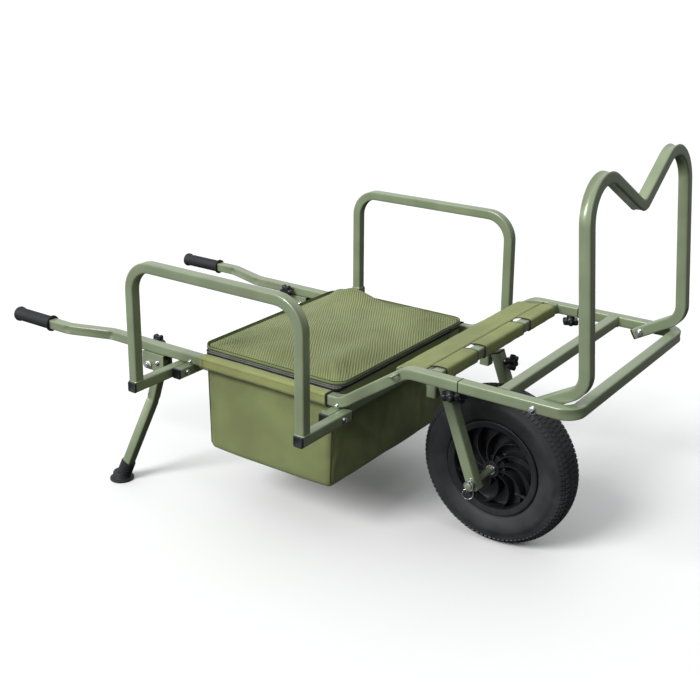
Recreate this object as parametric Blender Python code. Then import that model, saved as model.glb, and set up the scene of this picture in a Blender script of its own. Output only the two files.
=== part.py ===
"""A single-wheel push cart: tube frame, hanging bag, folding side guards, front rest and rear legs.

The frame runs along X, with the wheel at the front (+X) and the handles at the back (-X). +Y is the
cart's left side. Heights are above the ground, and cart coordinates count X from the wheel's axle.
"""

import math

import bmesh
import bpy
from mathutils import Vector

# Driving dimensions, in metres.
TUBE = 0.025  # outside width of the square tube
WALL = 0.0015
SPIGOT = 0.0214  # outside width of the necks that plug into a tube
GAP = 0.0003  # clearance between pieces that touch
BOLT_R = 0.004
AXLE_R = 0.008
AXLE_Z = 0.190
TYRE_R = 0.190
TYRE_WIDTH = 0.092
RIM_R = 0.116
RAIL_Y = 0.287  # centre of each side rail
RAIL_Z = 0.380  # height of the rail's rear run
DECK_Z = 0.493  # height of the rail's front run and of the front loop
SPLIT_X = 0.052  # where the front loop plugs into the rails
LOOP_X = 0.299  # centre of the loop's front run
BAR_X = 0.143
RAIL_END_X = -0.860
RAIL_RISE_X = (-0.245, -0.075)  # where the rail starts and ends its upward step
RAIL_BEND = 0.06
LOOP_BEND = 0.032
LOOP_NECK = 0.100  # how far the loop's ends reach into the rails
HANDLE_NECK = 0.200
HANDLE_CRANK_X = (-0.976, -1.100)
HANDLE_BEND = 0.07
GUARD_BEND = 0.065
GRIP_FRONT_X = -1.165
GRIP_END_X = -1.305
HANDLE_OUT = 0.040  # how far each handle steps out from its rail
REAR_CROSS_X = -0.700
FRONT_CROSS_X = -0.257
CROSS_HALF = 0.3405
GUARD_PIVOT_Y = 0.318
GUARD_Y = 0.449
GUARD_Z = 0.6545
GUARD_ARM_IN_Y = 0.288
GUARD_ARM_OUT_Y = 0.4615
SLING_TUBE_X = -0.015
HANGER_X = -0.100
HANGER_Z = 0.4764
FORK_Y = 0.122
FORK_TOP = (-0.081, 0.408)
POST_LOW_Z = 0.372
REST_PIVOT = (0.219, 0.488)
REST_END = (0.205, 0.4802)  # the rest tube's two ends, behind the pivot
REST_HEEL = (0.3116, 0.5399)  # corner where the rest turns up
REST_SHOULDER_Z = 0.996
REST_VALLEY_Z = 0.8466
REST_BENDS = (0.047, 0.080, 0.035, 0.080, 0.047)
REST_Y = 0.259
REST_LEAN = 0.064
REST_REACH = 0.3222  # how far ahead of the axle the front rest's bend reaches
LEG_PIVOT = (-0.806, 0.344)
LEG_BEND = (-0.842, 0.235)
FOOT = (-0.932, 0.325)
LEG_RADIUS = 0.1
BAG_X = (-0.655, -0.282)
BAG_CLOTH = 0.004
BAG_LOW_Z = 0.150
BAG_HALF = 0.284
COLLAR_X = (-0.668, -0.272)
COLLAR_HALF = 0.272
COLLAR_Z = 0.401
LID_X = (-0.672, -0.262)
LID_TOP_Z = 0.440

HALF = TUBE / 2
LOCK_X = SPLIT_X - 0.024
HANDLE_LOCK_X = RAIL_END_X + 0.015
STUD_Z = 0.392
POST_X = HANGER_X - 0.012
BRACKET_X = (-0.857, -0.785)
STOP_PIN = (-0.834, 0.336)
CROSS_Z = RAIL_Z - TUBE - GAP
# The middle of the whole length stands at X = 0.
AXLE_X = (-GRIP_END_X - REST_REACH) / 2
SIDES = {"right": -1, "left": 1}

for old in list(bpy.data.objects):
    bpy.data.objects.remove(old, do_unlink=True)


def material(name, colour, roughness, metallic=0.0):
    made = bpy.data.materials.new(name)
    made.use_nodes = True
    shader = made.node_tree.nodes["Principled BSDF"]
    shader.inputs["Base Color"].default_value = (*colour, 1.0)
    shader.inputs["Roughness"].default_value = roughness
    shader.inputs["Metallic"].default_value = metallic
    return made


GREEN = material("olive_paint", (0.19, 0.24, 0.15), 0.4, 0.3)
FABRIC = material("olive_fabric", (0.16, 0.18, 0.06), 0.9)
LID_FABRIC = material("lid_mesh", (0.22, 0.26, 0.11), 0.85)
BLACK = material("black_plastic", (0.012, 0.012, 0.014), 0.45)
FOAM = material("black_foam", (0.014, 0.014, 0.015), 0.8)
RUBBER = material("rubber", (0.018, 0.018, 0.018), 0.75)
TYRE = material("tyre_rubber", (0.02, 0.02, 0.02), 0.8)
ZINC = material("bright_zinc", (0.75, 0.75, 0.76), 0.25, 1.0)

groups = {}
origins = {}


def group(name, origin=(0, 0, 0), parent=None):
    """An empty on a joint's axis, given in cart coordinates, that carries one moving body."""
    empty = bpy.data.objects.new("body_" + name, None)
    bpy.context.scene.collection.objects.link(empty)
    start = Vector((-AXLE_X, 0, 0))
    if parent:
        empty.parent = groups[parent]
        start = origins[parent]
    empty.location = Vector(origin) - start
    groups[name] = empty
    origins[name] = Vector(origin)


def add(name, mesh, look, body="frame", round_shape=True):
    """Makes the object from a bmesh in cart coordinates, with its origin on its body's axis."""
    bmesh.ops.translate(mesh, verts=mesh.verts, vec=-origins[body])
    bmesh.ops.recalc_face_normals(mesh, faces=mesh.faces)
    data = bpy.data.meshes.new(name)
    mesh.to_mesh(data)
    mesh.free()
    data.materials.append(look)
    if round_shape:
        data.shade_smooth()
        data.set_sharp_from_angle(angle=math.radians(50))
    made = bpy.data.objects.new(name, data)
    bpy.context.scene.collection.objects.link(made)
    made.parent = groups[body]
    return made


def cut(target, mesh, body="frame", join=False):
    """Takes a hidden shape away from the target, or joins it on."""
    tool = add(target.name + "_tool", mesh, target.data.materials[0], body)
    tool.hide_render = True
    tool.display_type = "WIRE"
    boolean = target.modifiers.new(tool.name, "BOOLEAN")
    boolean.operation = "UNION" if join else "DIFFERENCE"
    boolean.object = tool
    boolean.solver = "EXACT"


def bent(corners, radii):
    """Points and directions along straight runs joined by arcs of the given radii."""
    corners = [Vector(c) for c in corners]
    ahead = (corners[1] - corners[0]).normalized()
    run = [(corners[0], ahead)]
    for here, onward, radius in zip(corners[1:-1], corners[2:], radii):
        after = (onward - here).normalized()
        turn = ahead.angle(after)
        inward = (after - ahead * ahead.dot(after)).normalized()
        centre = here - ahead * radius * math.tan(turn / 2) + inward * radius
        steps = max(2, math.ceil(turn / math.radians(23)))
        for step in range(steps + 1):
            angle = turn * step / steps
            place = centre + radius * (ahead * math.sin(angle) - inward * math.cos(angle))
            run.append((place, ahead * math.cos(angle) + inward * math.sin(angle)))
        ahead = after
    run.append((corners[-1], ahead))
    return run


def square(half_x, half_y, corner):
    """A square outline with blunted corners."""
    outline = []
    for quarter in range(4):
        sx = (1, -1, -1, 1)[quarter]
        sy = (1, 1, -1, -1)[quarter]
        for step in range(2):
            angle = math.radians(90 * quarter + 90 * step)
            x = sx * (half_x - corner) + corner * math.cos(angle)
            y = sy * (half_y - corner) + corner * math.sin(angle)
            outline.append((x, y))
    return outline


def circle(radius, count):
    return [
        (radius * math.cos(math.tau * i / count), radius * math.sin(math.tau * i / count))
        for i in range(count)
    ]


def rings_along(run, outlines, side):
    """Corner points of each outline, set square to the run, whose frame turns with its bends."""
    rings = []
    across = Vector(side)
    before = run[0][1]
    for (place, ahead), outline in zip(run, outlines):
        across = before.rotation_difference(ahead) @ across
        across = (across - ahead * ahead.dot(across)).normalized()
        upward = ahead.cross(across)
        before = ahead
        rings.append([place + across * x + upward * y for x, y in outline])
    return rings


def skin(rings, closed=False, mesh=None):
    """Faces between rings in order. A closed row joins last to first, an open one is capped."""
    mesh = mesh or bmesh.new()
    rows = [[mesh.verts.new(point) for point in ring] for ring in rings]
    pairs = list(zip(rows, rows[1:]))
    if closed:
        pairs.append((rows[-1], rows[0]))
    else:
        mesh.faces.new(rows[0])
        mesh.faces.new(rows[-1])
    for first, second in pairs:
        for i in range(len(first)):
            j = (i + 1) % len(first)
            mesh.faces.new((first[i], first[j], second[j], second[i]))
    return mesh


def tube(corners, radii, side, wide=HALF, deep=HALF, start_neck=0.0, end_neck=0.0):
    """A hollow square tube, with a narrower neck of the given length at either end."""
    run = bent(corners, radii)
    outer = [(spot, square(wide, deep, 0.0035)) for spot in run]
    bore = [(spot, square(wide - WALL, deep - WALL, 0.0015)) for spot in run]
    neck = square(SPIGOT / 2, SPIGOT / 2, 0.0025)
    hollow = square(SPIGOT / 2 - WALL, SPIGOT / 2 - WALL, 0.001)
    step = 2 * WALL
    if start_neck:
        place, ahead = run[0]
        tip = place - ahead * start_neck
        outer = [((tip, ahead), neck), ((place, ahead), neck)] + outer
        inner = (place + ahead * step, ahead)
        bore = [((tip, ahead), hollow), (inner, hollow), (inner, bore[0][1])] + bore[1:]
    if end_neck:
        place, ahead = run[-1]
        tip = place + ahead * end_neck
        outer += [((place, ahead), neck), ((tip, ahead), neck)]
        inner = (place - ahead * step, ahead)
        bore = bore[:-1] + [(inner, bore[-1][1]), (inner, hollow), ((tip, ahead), hollow)]
    rings = rings_along([spot for spot, _ in outer], [shape for _, shape in outer], side)
    inside = rings_along([spot for spot, _ in bore], [shape for _, shape in bore], side)
    return skin(rings + inside[::-1], closed=True)


def turned(profile, start, axis, count=20, closed=False):
    """A shape turned about an axis. The profile lists (distance along the axis, radius)."""
    axis = Vector(axis).normalized()
    turn = Vector((0, 0, 1)).rotation_difference(axis)
    base = Vector(start)
    rings = []
    for along, radius in profile:
        rings.append([base + turn @ Vector((x, y, along)) for x, y in circle(radius, count)])
    return skin(rings, closed=closed)


def rod(start, end, radius, count=12):
    start = Vector(start)
    end = Vector(end)
    return turned([(0, radius), ((end - start).length, radius)], start, end - start, count)


def bolt(start, end, shank=BOLT_R, head=0.008):
    """A through bolt: a domed head beyond the start, and a nut beyond the end."""
    start = Vector(start)
    end = Vector(end)
    length = (end - start).length + 2 * GAP
    axis = (end - start).normalized()
    profile = [
        (-0.0040, head * 0.55),
        (-0.0012, head),
        (0, head),
        (0, shank),
        (length, shank),
        (length, head),
        (length + 0.0060, head * 0.8),
    ]
    return turned(profile, start - axis * GAP, axis, 12)


def star_knob(seat, axis, stud):
    """A six-lobed knob that stands off its seat along the axis, with a stud the other way."""
    count = 24
    axis = Vector(axis).normalized()
    turn = Vector((0, 0, 1)).rotation_difference(axis)
    base = Vector(seat)
    lobes = []
    for i in range(count):
        angle = math.tau * i / count
        reach = 0.0175 + 0.0030 * math.cos(6 * angle)
        lobes.append((reach * math.cos(angle), reach * math.sin(angle)))

    def ring(outline, along, scale=1.0):
        return [base + turn @ Vector((x * scale, y * scale, along)) for x, y in outline]

    rings = [
        ring(circle(BOLT_R, count), -stud),
        ring(circle(BOLT_R, count), GAP),
        ring(circle(0.0095, count), GAP),
        ring(circle(0.0095, count), 0.0050),
        ring(lobes, 0.0095),
        ring(lobes, 0.020),
        ring(lobes, 0.0240, 0.80),
    ]
    return skin(rings)


def end_plug(seat, axis):
    """A square plug for an open tube end, with its plate outside the tube."""
    ahead = Vector(axis).normalized()
    base = Vector(seat)
    neck = HALF - WALL - GAP
    stations = [
        (-0.010, square(neck, neck, 0.0015)),
        (GAP, square(neck, neck, 0.0015)),
        (GAP, square(HALF, HALF, 0.0035)),
        (0.0033, square(HALF, HALF, 0.0035)),
        (0.0045, square(HALF - 0.0015, HALF - 0.0015, 0.0025)),
    ]
    run = [(base + ahead * along, ahead) for along, _ in stations]
    return skin(rings_along(run, [shape for _, shape in stations], (0, 0, 1)))


def make_frame():
    """Rails, the tubes that cross them, the fork's hanging posts and the leg brackets."""
    for name, side in SIDES.items():
        y = side * RAIL_Y
        path = [
            (RAIL_END_X, y, RAIL_Z),
            (RAIL_RISE_X[0], y, RAIL_Z),
            (RAIL_RISE_X[1], y, DECK_Z),
            (SPLIT_X, y, DECK_Z),
        ]
        rail = tube(path, (RAIL_BEND, RAIL_BEND), (0, 1, 0))
        rail = add("rail_" + name, rail, GREEN)
        low = DECK_Z - HALF
        cut(rail, rod((LOCK_X, y, low - 0.004), (LOCK_X, y, low + 0.004), BOLT_R + GAP))
        inner = side * (RAIL_Y - HALF)
        start = (HANDLE_LOCK_X, inner - side * 0.004, RAIL_Z)
        end = (HANDLE_LOCK_X, inner + side * 0.004, RAIL_Z)
        cut(rail, rod(start, end, BOLT_R + GAP))
    for name, x in (("rear", REAR_CROSS_X), ("front", FRONT_CROSS_X)):
        path = [(x, -CROSS_HALF, CROSS_Z), (x, CROSS_HALF, CROSS_Z)]
        cross = add(name + "_cross_tube", tube(path, (), (1, 0, 0)), GREEN)
        for side_name, side in SIDES.items():
            y = side * GUARD_PIVOT_Y
            cut(cross, rod((x - TUBE, y, CROSS_Z), (x + TUBE, y, CROSS_Z), BOLT_R + GAP))
            plug = end_plug((x, side * CROSS_HALF, CROSS_Z), (0, side, 0))
            add(name + "_cross_cap_" + side_name, plug, BLACK)
    reach = RAIL_Y - HALF - GAP
    path = [(SLING_TUBE_X, -reach, DECK_Z), (SLING_TUBE_X, reach, DECK_Z)]
    add("sling_cross_tube", tube(path, (), (1, 0, 0)), GREEN)
    path = [(HANGER_X, -reach, HANGER_Z), (HANGER_X, reach, HANGER_Z)]
    hanger = add("fork_hanger", tube(path, (), (1, 0, 0)), GREEN)
    # Each post's bore stays open at its lower end.
    for side in SIDES.values():
        y = side * FORK_Y
        post = tube([(POST_X, y, HANGER_Z - HALF + 0.001), (POST_X, y, POST_LOW_Z)], (), (1, 0, 0))
        cut(hanger, post, join=True)
        cut(hanger, rod((POST_X - TUBE, y, STUD_Z), (POST_X + TUBE, y, STUD_Z), BOLT_R + GAP))
    for name, side in SIDES.items():
        make_bracket(name, side)


def make_bracket(name, side):
    """An inverted U under the rail that holds a rear leg's pivot bolt and its stop pin."""
    y = side * RAIL_Y
    top = RAIL_Z - HALF - GAP
    half = HALF + 0.0008
    plate = 0.003
    outline = [
        (y - half - plate, 0.322),
        (y - half - plate, top),
        (y + half + plate, top),
        (y + half + plate, 0.322),
        (y + half, 0.322),
        (y + half, top - plate),
        (y - half, top - plate),
        (y - half, 0.322),
    ]
    bracket = skin([[(x, a, b) for a, b in outline] for x in BRACKET_X])
    bracket = add("leg_bracket_" + name, bracket, GREEN, round_shape=False)
    for x, z in (LEG_PIVOT, STOP_PIN):
        cut(bracket, rod((x, y - 0.03, z), (x, y + 0.03, z), BOLT_R + GAP))


def make_wheel():
    """Tyre, rim with curved blades, axle and its nut. The tyre is open towards the rim."""
    across = (0, 1, 0)
    hub = (0, 0, AXLE_Z)
    half = TYRE_WIDTH / 2
    outside = [
        (0.0324, 0.1044),
        (0.0324, 0.1165),
        (0.0410, 0.1200),
        (half, 0.1450),
        (0.0440, 0.1680),
        (0.0360, 0.1820),
        (0.0150, 0.1895),
        (0, TYRE_R),
    ]
    inside = [(0, 0.181), (0.026, 0.175), (0.036, 0.152), (0.022, 0.122), (0.022, 0.1044)]
    profile = outside + [(-a, r) for a, r in reversed(outside[:-1])]
    profile += [(-a, r) for a, r in reversed(inside[1:])] + inside
    add("tyre", turned(profile, hub, across, 40, closed=True), TYRE, "wheel")

    bore = AXLE_R + GAP
    face = [
        (0.044, bore),
        (0.044, 0.020),
        (0.006, 0.021),
        (0.006, 0.099),
        (0.036, 0.099),
        (0.0400, RIM_R),
        (0.0330, RIM_R - 0.002),
        (0.0330, 0.1040),
    ]
    profile = face + [(-a, r) for a, r in reversed(face)]
    rim = add("rim", turned(profile, hub, across, 36, closed=True), BLACK, "wheel")
    blades = bmesh.new()
    count = 12
    for side in (-1, 1):
        for blade in range(count):
            lean = math.tau * blade / count
            rings = []
            for step in range(4):
                share = step / 3
                radius = 0.0185 + (0.1005 - 0.0185) * share
                angle = lean + side * 0.75 * share**2
                thick = 0.0013
                low = 0.0050 * side
                high = (0.0400 - 0.0080 * share) * side
                ahead = Vector((math.cos(angle), 0, math.sin(angle)))
                beside = Vector((-math.sin(angle), 0, math.cos(angle))) * thick
                middle = Vector(hub) + ahead * radius
                rings.append(
                    [
                        middle - beside + Vector((0, low, 0)),
                        middle + beside + Vector((0, low, 0)),
                        middle + beside + Vector((0, high, 0)),
                        middle - beside + Vector((0, high, 0)),
                    ]
                )
            skin(rings, mesh=blades)
    cut(rim, blades, "wheel", join=True)

    reach = FORK_Y + 0.015 + GAP
    head = 0.0135
    profile = [
        (-reach - 0.0090, 0.0060),
        (-reach - 0.0080, AXLE_R),
        (-reach - 0.0080, AXLE_R + 0.0025),
        (-reach - 0.0020, AXLE_R + 0.0025),
        (-reach - 0.0020, head),
        (-reach, head),
        (-reach, AXLE_R),
        (reach + 0.0120, AXLE_R),
        (reach + 0.0130, 0.0065),
    ]
    add("axle", turned(profile, hub, across), GREEN)
    profile = [
        (reach, bore),
        (reach, head),
        (reach + 0.0020, head),
        (reach + 0.0020, AXLE_R + 0.0045),
        (reach + 0.0090, AXLE_R + 0.0045),
        (reach + 0.0090, bore),
    ]
    add("axle_nut", turned(profile, hub, across, closed=True), ZINC)


def make_fork():
    """Two legs from the axle to the hanging posts, each held there by a star knob."""
    top = Vector((FORK_TOP[0], 0, FORK_TOP[1]))
    lean = (top - Vector((0, 0, AXLE_Z))).normalized()
    low = Vector((0, 0, AXLE_Z)) - lean * 0.015
    share = (STUD_Z - AXLE_Z) / (top.z - AXLE_Z)
    leg_x = top.x * share
    front = leg_x + HALF / lean.z
    for name, side in SIDES.items():
        shift = Vector((0, side * FORK_Y, 0))
        leg = tube([low + shift, top + shift], (), (1, 0, 0), HALF, 0.015)
        leg = add("fork_leg_" + name, leg, GREEN)
        y = side * FORK_Y
        cut(leg, rod((0, y - 0.03, AXLE_Z), (0, y + 0.03, AXLE_Z), AXLE_R + GAP, 20))
        cut(leg, rod((leg_x - 0.04, y, STUD_Z), (leg_x + 0.04, y, STUD_Z), BOLT_R + GAP))
        # The knob's seat stands a little ahead of the leaning face.
        seat = front + 0.0050
        group("fork_knob_" + name, (seat, y, STUD_Z))
        stud = seat - POST_X + HALF
        knob = star_knob((seat, y, STUD_Z), (1, 0, 0), stud)
        add("fork_knob_" + name, knob, BLACK, "fork_knob_" + name)


def make_front():
    """The loop that plugs into the rails, its platform bar, its knobs and the folding rest."""
    start = SPLIT_X + GAP
    path = [
        (start, RAIL_Y, DECK_Z),
        (LOOP_X, RAIL_Y, DECK_Z),
        (LOOP_X, -RAIL_Y, DECK_Z),
        (start, -RAIL_Y, DECK_Z),
    ]
    bends = (LOOP_BEND, LOOP_BEND)
    loop = tube(path, bends, (0, 0, 1), start_neck=LOOP_NECK, end_neck=LOOP_NECK)
    loop = add("front_loop", loop, GREEN, "front_loop")
    reach = RAIL_Y - HALF - GAP
    path = [(BAR_X, -reach, DECK_Z), (BAR_X, reach, DECK_Z)]
    add("platform_bar", tube(path, (), (1, 0, 0)), GREEN, "front_loop")

    def leaning(y, height):
        return (REST_HEEL[0] - REST_LEAN * (height - REST_HEEL[1]), y, height)

    end = (REST_END[0], REST_Y, REST_END[1])
    half = [end, leaning(REST_Y, REST_HEEL[1]), leaning(REST_Y, REST_SHOULDER_Z)]
    path = half + [leaning(0, REST_VALLEY_Z)] + [(a, -b, c) for a, b, c in reversed(half)]
    rest = add("front_rest", tube(path, REST_BENDS, (0, 1, 0)), GREEN, "front_rest")
    x, z = REST_PIVOT
    for name, side in SIDES.items():
        y = side * RAIL_Y
        cut(loop, rod((x, y - 0.02, z), (x, y + 0.02, z), BOLT_R + GAP), "front_loop")
        y = side * REST_Y
        cut(rest, rod((x, y - 0.02, z), (x, y + 0.02, z), BOLT_R + GAP), "front_rest")
        outer = (x, side * (RAIL_Y + HALF), z)
        inner = (x, side * (REST_Y - HALF), z)
        add("rest_bolt_" + name, bolt(outer, inner), ZINC, "front_loop")
        low = DECK_Z - HALF - GAP
        group("loop_knob_" + name, (LOCK_X, side * RAIL_Y, low))
        knob = star_knob((LOCK_X, side * RAIL_Y, low), (0, 0, -1), 0.0018)
        add("loop_knob_" + name, knob, BLACK, "loop_knob_" + name)


def make_guard(name, side):
    """A side guard: a hoop on two arms that fold inwards about two bolts in line."""
    body = "guard_" + name
    y = side * GUARD_Y
    rear_x = REAR_CROSS_X - TUBE - GAP
    front_x = FRONT_CROSS_X + TUBE + GAP
    foot = CROSS_Z + HALF + GAP
    path = [(rear_x, y, foot), (rear_x, y, GUARD_Z), (front_x, y, GUARD_Z), (front_x, y, foot)]
    hoop = tube(path, (GUARD_BEND, GUARD_BEND), (0, 1, 0))
    add("guard_hoop_" + name, hoop, GREEN, body)
    for place, x, cross_x in (("rear", rear_x, REAR_CROSS_X), ("front", front_x, FRONT_CROSS_X)):
        path = [(x, side * GUARD_ARM_IN_Y, CROSS_Z), (x, side * GUARD_ARM_OUT_Y, CROSS_Z)]
        arm = add(f"guard_arm_{place}_{name}", tube(path, (), (1, 0, 0)), GREEN, body)
        pin_y = side * GUARD_PIVOT_Y
        cut(arm, rod((x - TUBE, pin_y, CROSS_Z), (x + TUBE, pin_y, CROSS_Z), BOLT_R + GAP), body)
        plug = end_plug((x, side * GUARD_ARM_OUT_Y, CROSS_Z), (0, side, 0))
        add(f"guard_cap_{place}_{name}", plug, BLACK, body)
        ahead = (max(x, cross_x) + HALF, pin_y, CROSS_Z)
        behind = (min(x, cross_x) - HALF, pin_y, CROSS_Z)
        add(f"guard_bolt_{place}_{name}", bolt(ahead, behind), ZINC)


def make_handle(name, side):
    """A cranked handle tube that slides in the rail's rear end, its foam grip and its knob."""
    body = "handle_" + name
    y = side * RAIL_Y
    out = side * (RAIL_Y + HANDLE_OUT)
    path = [
        (RAIL_END_X - GAP, y, RAIL_Z),
        (HANDLE_CRANK_X[0], y, RAIL_Z),
        (HANDLE_CRANK_X[1], out, RAIL_Z),
        (GRIP_FRONT_X, out, RAIL_Z),
    ]
    length = -GRIP_END_X + GRIP_FRONT_X
    neck = length - 0.010
    bends = (HANDLE_BEND, HANDLE_BEND)
    arm = tube(path, bends, (0, 1, 0), start_neck=HANDLE_NECK, end_neck=neck)
    add("handle_tube_" + name, arm, GREEN, body)
    bore = 0.0146
    profile = [
        (GAP, bore),
        (GAP, 0.0205),
        (0.004, 0.0215),
        (0.010, 0.0172),
        (length - 0.014, 0.0170),
        (length - 0.006, 0.0200),
        (length, 0.0150),
    ]
    start = (GRIP_FRONT_X, out, RAIL_Z)
    hollow = [(length, 0.0060), (length - 0.004, 0.0060), (length - 0.004, bore)]
    grip = turned(profile + hollow, start, (-1, 0, 0), 16, closed=True)
    add("grip_" + name, grip, FOAM, body)
    seat = side * (RAIL_Y - HALF - GAP)
    group("handle_knob_" + name, (HANDLE_LOCK_X, seat, RAIL_Z))
    knob = star_knob((HANDLE_LOCK_X, seat, RAIL_Z), (0, -side, 0), 0.0018)
    add("handle_knob_" + name, knob, BLACK, "handle_knob_" + name)


def make_leg(name, side):
    """A rear leg that folds forward about its bolt, its rubber foot, and the stop pin behind it."""
    body = "leg_" + name
    y = side * RAIL_Y
    pivot = Vector((LEG_PIVOT[0], y, LEG_PIVOT[1]))
    bend = Vector((LEG_BEND[0], y, LEG_BEND[1]))
    ground = Vector((FOOT[0], side * FOOT[1], 0))
    top = pivot + (pivot - bend).normalized() * 0.010
    lower = (ground - bend).normalized()
    end = ground - lower * 0.020
    leg = add("leg_tube_" + name, tube([top, bend, end], (LEG_RADIUS,), (0, 1, 0)), GREEN, body)
    cut(leg, rod(pivot - Vector((0, 0.02, 0)), pivot + Vector((0, 0.02, 0)), BOLT_R + GAP), body)
    profile = [(0, 0.029), (0.003, 0.031), (0.007, 0.031), (0.010, 0.027), (0.016, 0.018)]
    foot = add("foot_" + name, turned(profile, ground, (0, 0, 1), 20), RUBBER, body)
    sleeve = turned([(0.012, 0.0205), (0.055, 0.0190)], ground, -lower, 16)
    cut(foot, sleeve, body, join=True)
    fit = HALF + GAP
    run = [(end + lower * GAP, -lower), (end - lower * 0.05, -lower)]
    hole = rings_along(run, [square(fit, fit, 0.0035)] * 2, (0, 1, 0))
    cut(foot, skin(hole), body)
    outer = Vector((0, side * (HALF + 0.0038), 0))
    add("leg_bolt_" + name, bolt(pivot + outer, pivot - outer), ZINC)
    x, z = STOP_PIN
    seat = Vector((x, y + side * (HALF + 0.0038 + GAP), z))
    group("stop_pin_" + name, seat)
    profile = [
        (-0.0345, 0.0030),
        (-0.0330, BOLT_R),
        (0, BOLT_R),
        (0, 0.0085),
        (0.0050, 0.0085),
        (0.0060, 0.0060),
        (0.0120, 0.0050),
    ]
    pin = turned(profile, seat, (0, side, 0), 12)
    add("stop_pin_" + name, pin, ZINC, "stop_pin_" + name)


def slab_ring(x_low, x_high, half, z, corner):
    """A rounded rectangle at one height, four points to each corner."""
    ring = []
    for quarter in range(4):
        x = (x_high, x_low, x_low, x_high)[quarter]
        y = (half, half, -half, -half)[quarter]
        inward_x = -corner if x == x_high else corner
        inward_y = -corner if y == half else corner
        for step in range(4):
            angle = math.radians(90 * quarter + 30 * step)
            ring.append(
                (
                    x + inward_x + corner * math.cos(angle),
                    y + inward_y + corner * math.sin(angle),
                    z,
                )
            )
    return ring


def make_bag():
    """The hanging bag, open at the top, with a sleeve round each rail and a padded lid."""
    low, high = BAG_X
    back, front = COLLAR_X
    cloth = BAG_CLOTH
    step_low = RAIL_Z - HALF - 0.0050
    step_high = step_low + 0.0020
    rings = [
        slab_ring(low + 0.008, high - 0.010, BAG_HALF - 0.006, BAG_LOW_Z, 0.012),
        slab_ring(low, high, BAG_HALF, BAG_LOW_Z + 0.010, 0.015),
        slab_ring(low, COLLAR_X[1], BAG_HALF, step_low, 0.015),
        slab_ring(back, front, COLLAR_HALF, step_high, 0.015),
        slab_ring(back, front, COLLAR_HALF, COLLAR_Z, 0.015),
        slab_ring(back + cloth, front - cloth, COLLAR_HALF - cloth, COLLAR_Z, 0.012),
        slab_ring(back + cloth, front - cloth, COLLAR_HALF - cloth, step_low - 0.001, 0.012),
        slab_ring(low + cloth, high - cloth, BAG_HALF - cloth, step_low - cloth, 0.012),
        slab_ring(low + cloth, high - cloth, BAG_HALF - cloth, BAG_LOW_Z + 0.010, 0.012),
        slab_ring(low + 0.014, high - 0.016, BAG_HALF - 0.012, BAG_LOW_Z + cloth, 0.010),
    ]
    add("bag", skin(rings), FABRIC)
    for name, side in SIDES.items():
        y = side * RAIL_Y
        ends = [((x, y, RAIL_Z), Vector((1, 0, 0))) for x in (low, -0.280)]
        ends = [(Vector(place), ahead) for place, ahead in ends]
        outer = rings_along(ends, [square(0.0140, 0.0140, 0.0045)] * 2, (0, 1, 0))
        inner = rings_along(ends, [square(0.0128, 0.0128, 0.0035)] * 2, (0, 1, 0))
        sleeve = skin(outer + inner[::-1], closed=True)
        add("bag_sleeve_" + name, sleeve, FABRIC)
    low, high = LID_X
    base = COLLAR_Z + 0.0005
    rings = [
        slab_ring(low + 0.004, high - 0.004, COLLAR_HALF - 0.004, base, 0.030),
        slab_ring(low, high, COLLAR_HALF, base + 0.004, 0.032),
        slab_ring(low, high, COLLAR_HALF, base + 0.014, 0.032),
        slab_ring(low + 0.012, high - 0.012, COLLAR_HALF - 0.012, base + 0.024, 0.030),
        slab_ring(low + 0.040, high - 0.040, COLLAR_HALF - 0.040, LID_TOP_Z - 0.006, 0.030),
        slab_ring(low + 0.090, high - 0.090, COLLAR_HALF - 0.090, LID_TOP_Z, 0.030),
    ]
    add("bag_lid", skin(rings), LID_FABRIC, "bag_lid")


def make_sling():
    """A strip of fabric over the hanger tube and round the front tube, with two windows in front."""
    fit = HALF + GAP
    bevel = 0.0035
    back = HANGER_X - fit
    front = SLING_TUBE_X + fit
    high = DECK_Z + fit
    low = DECK_Z - fit
    section = [
        (back, HANGER_Z - 0.009),
        (back, HANGER_Z + fit - bevel),
        (back + bevel, HANGER_Z + fit),
        (SLING_TUBE_X - fit + bevel, high),
        (front - 0.008, high),
        (front - bevel, high),
        (front, high - bevel),
        (front, low + bevel),
        (front - bevel, low),
        (front - 0.008, low),
        (SLING_TUBE_X - 0.020, low),
    ]
    half = RAIL_Y - HALF - 0.0010
    window = 0.108
    breadth = 0.017
    rows = [-half, -window - breadth, -window + breadth]
    rows += [window - breadth, window + breadth, half]
    mesh = bmesh.new()
    grid = [[mesh.verts.new((x, y, z)) for y in rows] for x, z in section]
    for i in range(len(section) - 1):
        for j in range(len(rows) - 1):
            if j in (1, 3) and 4 <= i <= 8:
                continue
            corners = (grid[i][j], grid[i][j + 1], grid[i + 1][j + 1], grid[i + 1][j])
            mesh.faces.new(corners)
    sling = add("sling", mesh, FABRIC)
    solid = sling.modifiers.new("cloth", "SOLIDIFY")
    solid.thickness = 0.0015
    solid.offset = 1.0
    solid.use_even_offset = True


group("frame")
group("wheel", (0, 0, AXLE_Z))
group("front_loop")
group("front_rest", (REST_PIVOT[0], 0, REST_PIVOT[1]), "front_loop")
group("bag_lid", (sum(LID_X) / 2, COLLAR_HALF, COLLAR_Z + 0.0005))
for label, sign in SIDES.items():
    group("guard_" + label, (0, sign * GUARD_PIVOT_Y, CROSS_Z))
    group("handle_" + label, (RAIL_END_X, sign * RAIL_Y, RAIL_Z))
    group("leg_" + label, (LEG_PIVOT[0], sign * RAIL_Y, LEG_PIVOT[1]))
make_frame()
make_wheel()
make_fork()
make_front()
for label, sign in SIDES.items():
    make_guard(label, sign)
    make_handle(label, sign)
    make_leg(label, sign)
make_bag()
make_sling()
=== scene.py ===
import math

import bmesh
import bpy
from mathutils import Matrix, Vector, noise


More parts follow.
